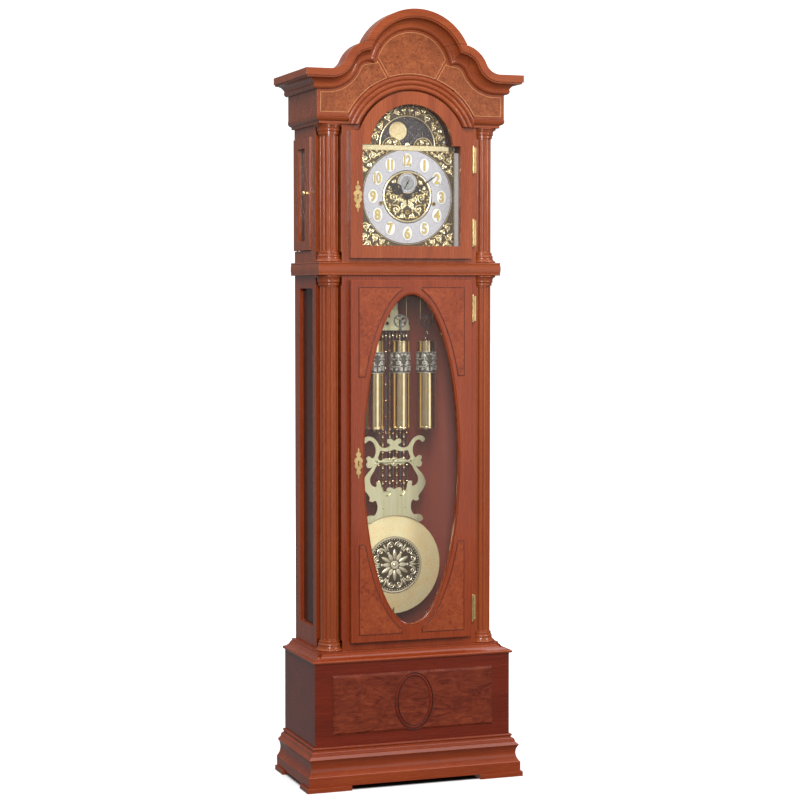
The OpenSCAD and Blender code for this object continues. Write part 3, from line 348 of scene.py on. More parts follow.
CAD_LOOKS = {
    "cherry_x": "feet base_moulding plinth_top_board roof_board",
    "cherry_z": "trunk_front_frame trunk_door trunk_sides",
    "warm_z": "hood_sides hood_front_frame hood_door left_side_door right_side_door columns",
    "warm_x": "crown_moulding frieze_boards neck_moulding waist_moulding",
    "deep_x": "plinth_panels seat_board",
    "inside": "back_panel",
    "burl": "frieze_burl_panels",
    "door_burl": "trunk_door_burl",
    "plinth_burl": "plinth_burl_panel",
    "glass": "trunk_door_glass hood_door_glass",
    "side_glass": "trunk_side_glass left_side_glass right_side_glass",
    "brass": "left_side_knob right_side_knob",
    "hinge": "hinge_posts hinge_pins trunk_door_hinge_leaves hood_door_hinge_leaves trunk_door_escutcheon "
             "hood_door_escutcheon",
    "pale_brass": "pendulum_lyre",
    "bob_brass": "pendulum_bob",
    "works": "movement_plates bells barrel_left barrel_centre barrel_right escape_wheel",
    "steel": "anchor_crutch",
    "patina": "dial_plate",
    "silver": "chapter_ring",
    "sky": "moon_disc",
    "black": "hour_hand minute_hand seconds_hand",
}
for look, names in CAD_LOOKS.items():
    for name in names.split():
        mesh = NODES[name].data
        mesh.materials.clear()
        mesh.materials.append(M[look])


# ---------------------------------------------------------------- forms


class Form:
    """Collects closed forms drawn in (across, up, forward) and makes one mesh of them."""

    def __init__(self):
        self.verts = []
        self.faces = []

    def add(self, verts, faces):
        base = len(self.verts)
        self.verts += verts
        self.faces += [tuple(i + base for i in f) for f in faces]

    def rings(self, rings, closed=False, cap=True):
        """Skins rings of equally many points; the rings follow each other along the form."""
        n = len(rings[0])
        count = len(rings)
        faces = []
        for k in range(count if closed else count - 1):
            a, b = k * n, (k + 1) % count * n
            faces += [(a + i, b + i, b + (i + 1) % n, a + (i + 1) % n) for i in range(n)]
        if cap and not closed:
            faces += [tuple(range(n)), tuple(range((count - 1) * n + n - 1, (count - 1) * n - 1, -1))]
        self.add([v for ring in rings for v in ring], faces)

    def stroke(self, path, width, height, base=0.0):
        """A rounded ridge along a flat path; width and height are functions of 0..1 along it."""
        rings = []
        last = len(path) - 1
        for k, (u, v) in enumerate(path):
            u0, v0 = path[max(0, k - 1)]
            u1, v1 = path[min(last, k + 1)]
            length = math.hypot(u1 - u0, v1 - v0) or 1e-9
            nu, nv = (v0 - v1) / length, (u1 - u0) / length
            w, h = max(width(k / last), 0.08 * MM), max(height(k / last), 0.08 * MM)
            rings.append([(u + nu * w * a, v + nv * w * a, base + h * b)
                          for a, b in ((-1, 0), (-0.66, 0.72), (0, 1), (0.66, 0.72), (1, 0))])
        self.rings(rings)

    def dome(self, u, v, r, h, base=0.0, steps=10):
        """A low round boss of radius r and height h."""
        rings = []
        for q in (0, 0.45, 0.9, 1.3):
            around = [polar(r * math.cos(q), TAU * i / steps) for i in range(steps)]
            rings.append([(u + du, v + dv, base + h * math.sin(q)) for du, dv in around])
        self.rings(rings)

    def disc(self, u, v, profile, steps=48, squash=1.0):
        """A turned form about (u, v); profile is a list of (radius, forward)."""
        rings = [[(u + r * math.cos(TAU * i / steps), v + squash * r * math.sin(TAU * i / steps), w)
                  for i in range(steps)] for r, w in profile]
        self.rings(rings)

    def ring(self, u, v, inner, outer, low, high, a0=0.0, a1=TAU, steps=96):
        """A rounded band between two radii, whole or from angle a0 to a1."""
        whole = a1 - a0 >= TAU - 1e-6
        mid, half = (inner + outer) / 2, (outer - inner) / 2
        section = [(-1, 0), (-0.8, 0.75), (-0.35, 1), (0.35, 1), (0.8, 0.75), (1, 0)]
        rings = []
        for k in range(steps if whole else steps + 1):
            a = a0 + (a1 - a0) * k / steps
            rings.append([(u + (mid + half * s) * math.cos(a), v + (mid + half * s) * math.sin(a),
                           low + (high - low) * t) for s, t in section])
        self.rings(rings, closed=whole)

    def oval(self, u, v, half_w, half_h, section, steps):
        """A closed band round an oval; section is a list of (outwards, forward)."""
        turns = [TAU * k / steps for k in range(steps)]
        self.rings([[(u + (half_w + out) * math.cos(a), v + (half_h + out) * math.sin(a), w)
                     for out, w in section] for a in turns], closed=True)

    def box(self, u, v, w, bevel=0.4 * MM):
        """A block with bevelled front edges; u, v and w are (low, high)."""
        rings = []
        for inset, depth in ((0, w[0]), (0, w[1] - bevel), (bevel, w[1])):
            rings.append([(u[0] + inset, v[0] + inset, depth), (u[1] - inset, v[0] + inset, depth),
                          (u[1] - inset, v[1] - inset, depth), (u[0] + inset, v[1] - inset, depth)])
        self.rings(rings)

    def scroll(self, u, v, r, start, hand, width, height, base=0.0, turns=1.35):
        """A spiral that fills the circle of radius r and ends in a berry."""
        n = 20
        path = []
        for k in range(n + 1):
            t = k / n
            a = start + hand * t * turns * TAU
            du, dv = polar(r * (1 - 0.80 * t ** 0.85), a)
            path.append((u + du, v + dv))
        self.stroke(path,
                    lambda t: width * (0.25 + 0.75 * math.sin(math.pi * min(1, 0.12 + t * 0.9)) ** 0.6),
                    lambda t: height * (0.7 + 0.3 * t), base)
        self.dome(*path[-1], width * 1.5, height * 1.25, base, 8)

    def leaf(self, u, v, heading, length, width, height, base=0.0, curl=0.5):
        """A pointed leaf with a bend."""
        n = 7
        path = []
        a = heading
        for _ in range(n + 1):
            path.append((u, v))
            u, v, a = u + math.cos(a) * length / n, v + math.sin(a) * length / n, a + curl / n
        self.stroke(path, lambda t: width * math.sin(math.pi * (0.12 + 0.86 * t)) ** 0.8,
                    lambda t: height * math.sin(math.pi * (0.15 + 0.8 * t)), base)

    def filigree(self, clear, box, sizes, seed, width, height, base=0.0, mirror=False):
        """Packs scrolls into the region where clear(u, v), its distance from the rim, is positive."""
        rnd = random.Random(seed)
        kept = []
        for r in sizes:
            for _ in range(260):
                u, v = rnd.uniform(box[0], box[1]), rnd.uniform(box[2], box[3])
                if clear(u, v) < r or any(math.hypot(u - a, v - b) < 0.93 * (r + q) for a, b, q in kept):
                    continue
                kept.append((u, v, r))
        for u, v, r in kept:
            near = min((k for k in kept if k[:2] != (u, v)), default=(0, 0, r),
                       key=lambda k: math.hypot(u - k[0], v - k[1]))
            start = math.atan2(near[1] - v, near[0] - u)
            hand = rnd.choice((-1, 1))
            w = min(width, 0.24 * r)
            for side in ((1, -1) if mirror else (1,)):
                a = start if side == 1 else math.pi - start
                self.scroll(side * u, v, 0.88 * r, a, hand * side, w, height, base)
                for turn in (2.2, 4.0):
                    q = a + hand * side * turn
                    du, dv = polar(0.62 * r, q)
                    self.leaf(side * u + du, v + dv, q - hand * side * 0.5, 0.62 * r, 0.9 * w, height * 0.8,
                              base, hand * side * 1.2)


def piece(name, verts, faces, look, body, slot, *nodes):
    """Makes one visible piece. It rides on body, and takes the place of nodes."""
    mesh = bpy.data.meshes.new(name)
    mesh.from_pydata([tuple(v) for v in verts], [], faces)
    mesh.validate()
    work = bmesh.new()
    work.from_mesh(mesh)
    bmesh.ops.recalc_face_normals(work, faces=work.faces)
    work.to_mesh(mesh)
    work.free()
    mesh.shade_smooth()
    mesh.set_sharp_from_angle(angle=math.radians(38))
    mesh.materials.append(M[look])
    obj = linked(name, mesh)
    if body:
        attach(obj, body)
    if nodes:
        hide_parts(*nodes)
    return obj


def facing(name, form, at, look, body, slot, *nodes):
    """Puts a form on a plane that faces the front: at is the place of its (0, 0, 0)."""
    verts = [(at[0] + u, at[1] - w, at[2] + v) for u, v, w in form.verts]
    return piece(name, verts, form.faces, look, body, slot, *nodes)


def upright(name, form, at, look, body, slot, *nodes):
    """Puts a turned form on a vertical axis: its forward becomes up."""
    verts = [(at[0] + u, at[1] - v, at[2] + w) for u, v, w in form.verts]
    return piece(name, verts, form.faces, look, body, slot, *nodes)


# ---------------------------------------------------------------- wood details


def outline_loops(node, face_y, tolerance=0.05 * MM):
    """Closed outlines, as lists of (x, z), of the flat faces of a CAD node that lie at face_y."""
    mesh = NODES[node].data

    def key(i):
        return tuple(round(c, 5) for c in (mesh.vertices[i].co.x, mesh.vertices[i].co.z))

    count = {}
    for poly in mesh.polygons:
        if all(abs(mesh.vertices[i].co.y - face_y) < tolerance for i in poly.vertices):
            ids = [key(i) for i in poly.vertices]
            for a, b in zip(ids, ids[1:] + ids[:1]):
                count[(a, b)] = count.get((a, b), 0) + 1
    after = {a: b for a, b in count if (b, a) not in count and a != b}
    loops = []
    while after:
        start, nxt = after.popitem()
        loop = [start]
        while nxt in after and nxt != start:
            loop.append(nxt)
            nxt = after.pop(nxt)
        if len(loop) > 2:
            loops.append(loop)
    return loops


def resampled(loop, step):
    """The loop with points about a step apart, its corners kept."""
    out = []
    for (ax, az), (bx, bz) in zip(loop, loop[1:] + loop[:1]):
        n = max(1, round(math.hypot(bx - ax, bz - az) / step))
        out += [(ax + (bx - ax) * k / n, az + (bz - az) * k / n) for k in range(n)]
    return out


def line_round(form, loop, offset, width, height):
    """A raised line that follows a closed outline, moved outwards by offset."""
    pts = resampled(loop, 6 * MM)
    n = len(pts)
    area = sum(a[0] * b[1] - b[0] * a[1] for a, b in zip(pts, pts[1:] + pts[:1]))
    out = 1 if area > 0 else -1
    rings = []
    for k in range(n):
        (px, pz), (x, z), (qx, qz) = pts[k - 1], pts[k], pts[(k + 1) % n]
        e0, e1 = Vector((x - px, z - pz)), Vector((qx - x, qz - z))
        if e0.length < 1e-7 or e1.length < 1e-7:
            continue
        n0 = Vector((e0.y, -e0.x)).normalized() * out
        n1 = Vector((e1.y, -e1.x)).normalized() * out
        m = n0 + n1
        m = m / max(0.35, m.dot(n0)) if m.length > 1e-3 else n0
        rings.append([(x + m.x * (offset + width * s), z + m.y * (offset + width * s), height * t)
                      for s, t in ((-0.5, 0), (-0.3, 1), (0.3, 1), (0.5, 0))])
    form.rings(rings, closed=True)


def panel_lines(name, node, look, slot, body, offset, width, height):
    """Raised lines along the outlines of a node's front face."""
    low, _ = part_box(node)
    form = Form()
    for loop in outline_loops(node, low.y):
        line_round(form, loop, offset, width, height)
    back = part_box(node)[1].y
    facing(name, form, (0, back, 0), look, body, slot)


def plinth_oval():
    """Oval bead inside the groove of the plinth panel, with two dark rings beside it as painted shade in the
    groove.
    """
    low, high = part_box("plinth_burl_panel")
    half_w, half_h, steps = 51.5, 74, 96
    at = (0, low.y + 3 * MM, (low.z + high.z) / 2 - 1.5 * MM)
    bead = Form()
    bead.oval(0, 0, half_w * MM, half_h * MM, scaled(BEAD, 4.2 * MM, 2.6 * MM), steps)
    facing("plinth_oval_bead", bead, at, "deep_x", "case", "cherry")
    # painted shade: dark rings on both sides of the bead stand in for the shade of the groove
    groove = Form()
    for reach in (-6.0, 6.0):
        groove.oval(0, 0, *mm(half_w + reach, half_h + reach), scaled(RIDGE, 1.6 * MM, 3.3 * MM), steps)
    facing("plinth_oval_groove_shade", groove, at, "groove", "case", "cherry")


def oval_bead():
    """Bead that lines the step round the trunk door's oval."""
    low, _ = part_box("trunk_door")
    glass_low, glass_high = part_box("trunk_door_glass")
    lap, step = 6.7 * MM, 2.4 * MM     # of the glass behind the door, and of the door's edge
    half_w = glass_high.x - lap + step
    half_h = (glass_high.z - glass_low.z) / 2 - lap + step
    form = Form()
    form.oval(0, 0, half_w, half_h, scaled(ROUND_BEAD, 2.2 * MM, 2.4 * MM), 160)
    facing("oval_window_bead", form, (0, low.y + 3 * MM, (glass_low.z + glass_high.z) / 2),
           "cherry_z", "trunk_door", "cherry")


panel_lines("frieze_inlay_lines", "frieze_burl_panels", "inlay", "cherry", "case", *mm(0.8, 2.2, 1.0))
# the dark raised lines round the door and plinth panels are painted shade of the grooves there
panel_lines("door_panel_groove_shade", "trunk_door_burl", "groove", "door_burl", "trunk_door", *mm(1.2, 2.4, 0.35))
panel_lines("plinth_panel_groove_shade", "plinth_burl_panel", "groove", "burl", "case", *mm(1.6, 2.6, 0.4))
plinth_oval()
oval_bead()


# ---------------------------------------------------------------- dial


def dial_corners():
    """Scrolls in the corners of the dial's square part, and its thin border."""
    form = Form()
    corner_x, low_z = DIAL_HW, PLATE_LOW.z
    high_z = DIAL_Z * 2 - low_z - 12 * MM

    def clear(u, v):
        return min(corner_x - 2 * MM - u, v - low_z - 2 * MM, high_z - v,
                   math.hypot(u, v - DIAL_Z) - RING_R - 2.5 * MM)

    for seed, band in ((3, (low_z, low_z + 70 * MM)), (8, (high_z - 70 * MM, high_z))):
        form.filigree(clear, (45 * MM, corner_x, *band), mm(13, 10, 8, 6, 4.5, 3.4, 2.5),
                      seed, 2.7 * MM, 2.0 * MM, 0.0, mirror=True)
    for side in (-1, 1):
        u = sorted((side * (corner_x - 2.2 * MM), side * corner_x))
        form.box(u, (low_z, high_z + 10 * MM), (0, 1.6 * MM))
    form.box((-corner_x, corner_x), (low_z, low_z + 2.4 * MM), (0, 1.6 * MM))
    facing("dial_corner_filigree", form, (0, DIAL_FRONT, 0), "gilt", "case", "dial_gold", "dial_ornaments")


def dial_rings():
    """Rims of the rings, minute dots and the small seconds dial."""
    form = Form()
    form.ring(0, DIAL_Z, 131 * MM, 132.6 * MM, 0, 2.2 * MM, math.radians(-168), math.radians(168))
    form.ring(0, DIAL_Z, 66.5 * MM, 71.5 * MM, 0, 2.2 * MM)
    form.ring(SECONDS.x, SECONDS.y, SECONDS_R, SECONDS_R + 2 * MM, 0, 2.2 * MM)
    facing("dial_ring_rims", form, (0, DIAL_FRONT, 0), "gilt", "case", "dial_gold")
    dark = Form()
    # open at the top, where the cross bar covers the ring
    start, end = math.radians(105), math.radians(435)
    dark.ring(0, DIAL_Z, RING_R - 1.2 * MM, RING_R - 0.2 * MM, 0, 0.25 * MM, start, end)
    dark.ring(0, DIAL_Z, 72.3 * MM, 73.6 * MM, 0, 0.25 * MM)
    for k in range(60):
        if k != 15:
            u, v = polar(124.5 * MM, TAU * k / 60)
            dark.dome(u, DIAL_Z + v, (1.1 if k % 5 == 0 else 0.55) * MM, 0.3 * MM, 0, 6)
    facing("dial_minute_dots", dark, (0, RING_FRONT, 0), "black", "case", "black_hands")
    boss = Form()
    boss.disc(0, SECONDS.y, pairs((17, 0), (17, 0.2), (16.4, 0.35), (11.5, 0.35), (11, 0.2), (4.5, 0.2)), 40)
    facing("seconds_dial_boss", boss, (0, RING_FRONT, 0), "grey", "case", "silvered_ring")
    marks = Form()
    marks.ring(0, SECONDS.y, 17.4 * MM, 18.4 * MM, 0, 0.3 * MM)
    marks.ring(0, SECONDS.y, 24.6 * MM, 25.4 * MM, 0, 0.3 * MM)
    for k in range(24):
        ends = [polar(q * MM, TAU * k / 24) for q in (18.6, 21 if k % 2 else 23)]
        marks.stroke([(u, SECONDS.y + v) for u, v in ends], lambda t: 0.45 * MM, lambda t: 0.3 * MM)
    facing("seconds_dial_marks", marks, (0, RING_FRONT, 0), "black", "case", "black_hands")


def dial_centre():
    """Scrolls inside the chapter ring, and the bushes of the winding holes."""
    form = Form()

    def clear(u, v):
        from_middle = math.hypot(u, v)
        return min(66 * MM - from_middle, from_middle - 9 * MM,
                   math.hypot(u - SECONDS.x, v + DIAL_Z - SECONDS.y) - SECONDS_R - 2.5 * MM,
                   math.hypot(u, v + 43 * MM) - 7 * MM, u)

    form.filigree(clear, (0, 66 * MM, -66 * MM, 66 * MM), mm(15, 12, 9, 7, 5, 3.8, 2.8),
                  21, 2.5 * MM, 2.0 * MM, 0.0, mirror=True)
    for side in (-1, 1):
        for a, length in ((-1.45, 30), (-1.05, 22), (-0.5, 20)):
            heading = a if side == 1 else math.pi - a
            form.leaf(side * 4 * MM, -8 * MM, heading, length * MM, 3 * MM, 2 * MM, 0, side * 0.6)
    facing("dial_centre_filigree", form, (0, DIAL_FRONT, DIAL_Z), "gilt", "case", "dial_gold")
    bushes = Form()
    for u, v in ((-78, -19), (0, -43), (78, -19)):
        bushes.ring(u * MM, v * MM, 3.6 * MM, 6.2 * MM, 0, 2.4 * MM, steps=28)
    facing("winding_hole_bushes", bushes, (0, DIAL_FRONT, DIAL_Z), "works", "case", "dial_gold")


def dial_arch():
    """Scrolls round the moon's opening, its two humps, and the bar under it."""
    form = Form()
    inner, outer = 84 * MM, ARCH_R - 2 * MM

    def clear(u, v):
        q = math.hypot(u, v)
        return min(outer - q, q - inner, v, u)

    form.filigree(clear, (0, outer, 0, outer), mm(13.5, 10, 7, 5, 3.6, 2.6), 5,
                  2.5 * MM, 2.0 * MM, 0.0, mirror=True)
    form.ring(0, 0, LUNETTE_R, LUNETTE_R + 4 * MM, 0, 2.6 * MM, 0, math.pi)
    form.ring(0, 0, ARCH_R - 1.8 * MM, ARCH_R - 0.2 * MM, 0, 1.6 * MM, 0, math.pi)
    for side in (-1, 1):
        x = side * HUMP_X
        half = math.asin((ARCH_Z - HUMP_Z) / (HUMP_R - 1.3 * MM))
        form.ring(x, HUMP_Z - ARCH_Z, HUMP_R - 2.6 * MM, HUMP_R, 0, 2.2 * MM, half, math.pi - half, 48)
        form.filigree(lambda u, v: min(HUMP_R - 4 * MM - math.hypot(u - x, v + ARCH_Z - HUMP_Z), v),
                      (x - HUMP_R, x + HUMP_R, 0, HUMP_R), mm(8, 6, 4, 2.8), 13 + side, 2.1 * MM, 1.8 * MM)
    facing("dial_arch_filigree", form, (0, DIAL_FRONT, ARCH_Z), "gilt", "case", "dial_gold")

    bar = Form()
    bar.box((-DIAL_HW + 1 * MM, DIAL_HW - 18 * MM), (CROSS_BAR_Z, ARCH_Z - 0.3 * MM), (0, 3 * MM), 0.8 * MM)
    bar.disc(0, ARCH_Z + 1.5 * MM, pairs((6, 1), (6, 3), (4.4, 3.9), (2.2, 3.9), (1.8, 3.2)), 28)
    for u in (-118, -38, 38, 100):
        bar.dome(u * MM, CROSS_BAR_Z + 7 * MM, 1.5 * MM, 0.8 * MM, 3 * MM, 12)
    facing("dial_cross_bar", bar, (0, DIAL_FRONT, 0), "gilt", "case", "dial_gold")
    knob = Form()
    knob.disc(109 * MM, 1784 * MM,
              pairs((2.5, 0), (2.5, 2), (4.6, 2.6), (5.5, 4.4), (4.8, 6.4), (2.4, 7.8), (0.5, 8)), 24)
    facing("lever_knob", knob, (0, DIAL_FRONT, 0), "grey", "case", "silvered_ring")


def moon_and_stars():
    """Two moons on the disc, each with faint round seas."""
    low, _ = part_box("moon_disc")
    centre_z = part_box("moon_disc")[0].z + 90 * MM
    moons = [polar(55 * MM, math.radians(a)) for a in (119, 299)]
    form = Form()
    for u, v in moons:
        form.disc(u, v, pairs((25.8, -0.7), (25.8, -0.1), (25.2, 0.05), (16, 0.12), (0.5, 0.15)), 56)
    rnd = random.Random(4)
    for u, v in moons:
        for _ in range(16):
            q, t, r = rnd.uniform(2, 21) * MM, rnd.uniform(0, TAU), rnd.uniform(1.2, 3.4) * MM
            du, dv = polar(q, t)
            form.ring(u + du, v + dv, 0.6 * r, r, 0.1 * MM, 0.19 * MM, steps=20)
    facing("moon_faces", form, (0, low.y, centre_z), "moon", "moon_disc", "dial_gold")


def curve_mesh(curve):
    """Points and faces of a curve's mesh. The curve itself is removed."""
    holder = linked(curve.name, curve)
    bpy.context.view_layer.update()
    mesh = bpy.data.meshes.new_from_object(holder.evaluated_get(bpy.context.evaluated_depsgraph_get()))
    points = [tuple(v.co) for v in mesh.vertices]
    faces = [tuple(p.vertices) for p in mesh.polygons]
    bpy.data.objects.remove(holder)
    bpy.data.meshes.remove(mesh)
    bpy.data.curves.remove(curve)
    return points, faces


def hour_text(hour, thicken, depth):
    """Outline of an hour number as (vertices, faces), centred on the origin and facing up."""
    curve = bpy.data.curves.new(f"hour_{hour}", "FONT")
    curve.body = str(hour)
    curve.size = 39 * MM
    curve.space_character = 0.80
    curve.offset = thicken
    curve.extrude = depth
    curve.bevel_depth = 0.15 * MM
    curve.resolution_u = 5
    points, faces = curve_mesh(curve)
    middle = []
    for k in (0, 1):
        places = [point[k] for point in points]
        middle.append((min(places) + max(places)) / 2)
    narrow = 0.72 if hour > 9 else 0.86
    verts = [((x - middle[0]) * narrow, y - middle[1], z) for x, y, z in points]
    return verts, faces


def numerals():
    """White oval cartouches with gold hour numbers, each with a dark outline."""
    white, rims, gold, shade = Form(), Form(), Form(), Form()
    radius, half_w, half_h = mm(101, 15, 20)
    face = [(half_w, 0), (half_w, 0.2 * MM), (half_w - 0.6 * MM, 0.35 * MM), (0.5 * MM, 0.35 * MM)]
    for hour in range(1, 13):
        u, v = polar(radius, math.pi / 2 - TAU * hour / 12)
        white.disc(u, v, face, 36, half_h / half_w)
        rims.oval(u, v, half_w, half_h, pairs((-0.3, 0), (-0.3, 0.45), (0.9, 0.45), (0.9, 0)), 40)
        for form, thicken, depth, lift in ((shade, *mm(1.1, 0.08, 0.55)), (gold, *mm(0.5, 0.25, 0.95))):
            verts, faces = hour_text(hour, thicken, depth)
            form.add([(u + x, v + y, z + lift) for x, y, z in verts], faces)
    at = (0, RING_FRONT, DIAL_Z)
    facing("hour_cartouches", white, at, "white", "case", "silvered_ring")
    facing("hour_cartouche_rims", rims, at, "grey", "case", "silvered_ring")
    facing("hour_numeral_outlines", shade, at, "black", "case", "black_hands")
    facing("hour_numerals", gold, at, "numeral", "case", "dial_gold")


def dial_edges():
    """Folded sheet flanges on both sides of the dial's square part."""
    form = Form()
    for side in (-1, 1):
        u = sorted((side * (DIAL_HW + 0.6 * MM), side * (DIAL_HW + 12.5 * MM)))
        form.box(u, (PLATE_LOW.z + 6 * MM, ARCH_Z - 18 * MM), (-2.0 * MM, 0.6 * MM), 0.5 * MM)
    facing("dial_side_flanges", form, (0, DIAL_FRONT, 0), "strip", "case", "silvered_ring")


dial_corners()
dial_rings()
dial_centre()
dial_arch()
moon_and_stars()
numerals()
dial_edges()


# ---------------------------------------------------------------- pendulum


def rod_between(form, x, y, z0, z1, section, twist=0.0):
    """An upright bar in (across, up, forward) with an optional twist, in turns per metre."""
    n = max(1, round((z1 - z0) / (5 * MM))) if twist else 1
    rings = []
    for k in range(n + 1):
        z = z0 + (z1 - z0) * k / n
        a = TAU * twist * (z - z0)
        rings.append([(x + c * math.cos(a) - s * math.sin(a), z, y + c * math.sin(a) + s * math.cos(a))
                      for c, s in section])
    form.rings(rings)


def circle_points(r, n):
    return [polar(r, TAU * i / n) for i in range(n)]


def gridiron():
    """Nine rods between two bars, twisted brass and plain steel by turns, with a plate at their head."""
    _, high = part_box("pendulum_rods")
    foot_z, top_z = 792 * MM, 1264 * MM
    rod_y = -42 * MM
    brass, steel, bars = Form(), Form(), Form()
    count, pitch = 9, 10.6
    for k in range(count):
        x = (k - (count - 1) / 2) * pitch * MM
        if k % 2:
            rod_between(brass, x, rod_y, foot_z, top_z, circle_points(2.9 * MM, 4), 11.4)
        else:
            rod_between(steel, x, rod_y, foot_z, top_z, circle_points(2.0 * MM, 12))
            for z in range(830, 1250, 46):
                brass.disc(x, z * MM, pairs((2.9, -44.6), (2.9, -39.6), (1.6, -39)), 12)
    facing("gridiron_brass_rods", brass, (0, 0, 0), "brass", "pendulum", "lacquered_brass", "pendulum_rods")
    facing("gridiron_steel_rods", steel, (0, 0, 0), "steel", "pendulum", "steel")
    half = 47 * MM
    bars.box((-half, half), (top_z - 2 * MM, top_z + 12 * MM), mm(-46, -37.2), 0.8 * MM)
    bars.box((-half, half), (foot_z - 2 * MM, foot_z + 10 * MM), mm(-46, -35.2), 0.8 * MM)
    rod_between(bars, 0, rod_y, 733 * MM, foot_z, circle_points(4 * MM, 20))
    bars.box(mm(-12, 12), (top_z + 12 * MM, high.z), mm(-39, -37.2), 0.4 * MM)
    # the rod's end and the rating nut, under the bob
    rod_between(bars, 0, rod_y, 438 * MM, 458 * MM, circle_points(3.8 * MM, 20))
    rod_between(bars, 0, rod_y, 440 * MM, 446 * MM, circle_points(9 * MM, 24))
    facing("gridiron_frame", bars, (0, 0, 0), "pale_brass", "pendulum", "lacquered_brass")
    plate("gridiron_head_plate", head_outlines(top_z), 34 * MM, 37 * MM)


def arc(cx, cz, r, a0, a1, n=14):
    return [(cx + r * math.cos(a0 + (a1 - a0) * k / n), cz + r * math.sin(a0 + (a1 - a0) * k / n))
            for k in range(n + 1)]


def head_outlines(z):
    """Outline and piercings of the plate at the head of the gridiron."""
    right = [(47 * MM, z - 4 * MM), (47 * MM, z + 7 * MM), (44.5 * MM, z + 9.5 * MM)]
    right += arc(27 * MM, z + 20 * MM, 17 * MM, -0.35, math.pi * 0.80, 18)
    right += [(12 * MM, z + 36 * MM), (12 * MM, z + 54 * MM)]
    outline = right + [(-x, y) for x, y in reversed(right)]
    holes = []
    for side in (-1, 1):
        for k in range(3):
            q = math.radians(90 + 120 * k)
            x, up = side * (27 + 8.3 * math.cos(q)) * MM, (20 + 8.3 * math.sin(q)) * MM
            holes.append(arc(x, z + up, 5.2 * MM, 0, TAU * 0.98, 16))
    return [outline] + holes


def plate(name, outlines, y0, y1, bevel=0.5 * MM):
    """A pierced plate with rounded edges on the pendulum, from closed outlines of (x, z)."""
    curve = bpy.data.curves.new(name, "CURVE")
    curve.dimensions = "2D"
    curve.fill_mode = "BOTH"
    curve.extrude = (y1 - y0) / 2 - bevel
    curve.bevel_depth = bevel
    curve.bevel_resolution = 1
    for outline in outlines:
        spline = curve.splines.new("POLY")
        spline.points.add(len(outline) - 1)
        for point, (x, z) in zip(spline.points, outline):
            point.co = (x, z, 0, 1)
        spline.use_cyclic_u = True
    points, faces = curve_mesh(curve)
    verts = [(x, (y0 + y1) / 2 - z, y) for x, y, z in points]
    return piece(name, verts, faces, "pale_brass", "pendulum", "lacquered_brass")


def lyre_bar():
    """Spindles, flower and screws on the lyre's cross bar."""
    low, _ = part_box("pendulum_lyre")
    bar_z = 887
    form = Form()
    for side in (-1, 1):
        form.stroke([(side * (9 + 34 * t / 10) * MM, bar_z * MM) for t in range(11)],
                    lambda t: 6.2 * MM * math.sin(math.pi * (0.10 + 0.82 * t)) ** 0.8, lambda t: 1.0 * MM)
    for k in range(4):
        a = math.pi / 2 * k
        form.dome(6.4 * MM * math.cos(a), (bar_z + 7.2 * math.sin(a)) * MM, 4.4 * MM, 1.2 * MM, 0, 14)
    for side in (-1, 1):
        for du, dv in ((-6, 0), (5, 5), (5, -5)):
            form.dome(side * (51 + du) * MM, (bar_z + dv) * MM, 3.4 * MM, 0.9 * MM, 0, 12)
    facing("lyre_bar_ornaments", form, (0, low.y, 0), "pale_brass", "pendulum", "lacquered_brass")
    screws = Form()
    for x, z in ((33, 755), (-33, 755), (0, bar_z)):
        screws.dome(x * MM, z * MM, 2.1 * MM, 1.2 * MM, 0.2 * MM if z < 800 else 1.0 * MM, 12)
    facing("lyre_screws", screws, (0, low.y, 0), "works", "pendulum", "lacquered_brass")


def medallion():
    """Cast medallion: bead ring, outer scroll band and a rosette with leaves."""
    low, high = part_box("bob_medallion")
    centre_z = (low.z + high.z) / 2
    r = (high.x - low.x) / 2
    form = Form()
    rim = ((1.5, 0), (0, 0.8), (0, 3.2), (2, 5.2), (5, 5.0), (6.5, 3.2))
    form.disc(0, 0, [(r - inset * MM, w * MM) for inset, w in rim] + pairs((0.5, 3.2)), 96)
    base = 3.1 * MM
    for k in range(60):
        a = TAU * k / 60
        form.dome(*polar(r - 8.8 * MM, a), 2.3 * MM, 1.6 * MM, base, 8)
    petals = 6
    for k in range(petals):
        a = TAU * k / petals + math.pi / 2
        # broad leaf with two side leaves and a pair of scrolls at its tip
        form.leaf(*polar(15 * MM, a), a, 32 * MM, 6.6 * MM, 3.2 * MM, base, 0)
        for hand in (-1, 1):
            b = a + hand * 0.36
            form.leaf(*polar(15 * MM, b), b, 30 * MM, 3.6 * MM, 2.6 * MM, base, hand * 1.1)
            c = a + hand * 0.20
            form.scroll(*polar(58 * MM, c), 10.5 * MM, c - hand * 1.9, hand,
                        2.2 * MM, 2.6 * MM, base)
            d = a + hand * 0.43
            form.leaf(*polar(44 * MM, d), d, 25 * MM, 3.0 * MM, 2.4 * MM, base, -hand * 0.9)
        e = a + math.pi / petals
        form.dome(*polar(39 * MM, e), 4.2 * MM, 2.6 * MM, base, 14)
        form.leaf(*polar(46 * MM, e), e, 24 * MM, 3.4 * MM, 2.6 * MM, base, 0)
        form.leaf(*polar(13 * MM, e), e, 20 * MM, 3.4 * MM, 2.4 * MM, base, 0)
    form.disc(0, 0, [(12.5 * MM, base)] + pairs((12, 4.8), (9, 5.8), (6, 5.2), (4.6, 6.4), (0.5, 7.0)), 32)
    M["medallion"] = relief_metal("medallion_metal", (0.070, 0.055, 0.024), (0.86, 0.78, 0.54),
                                  high.y - 3.4 * MM, high.y - 5.2 * MM, 0.34)
    facing("medallion_relief", form, (0, high.y, centre_z), "medallion", "pendulum", "antique_brass",
           "bob_medallion")


gridiron()
lyre_bar()
medallion()


# ---------------------------------------------------------------- weights and cables

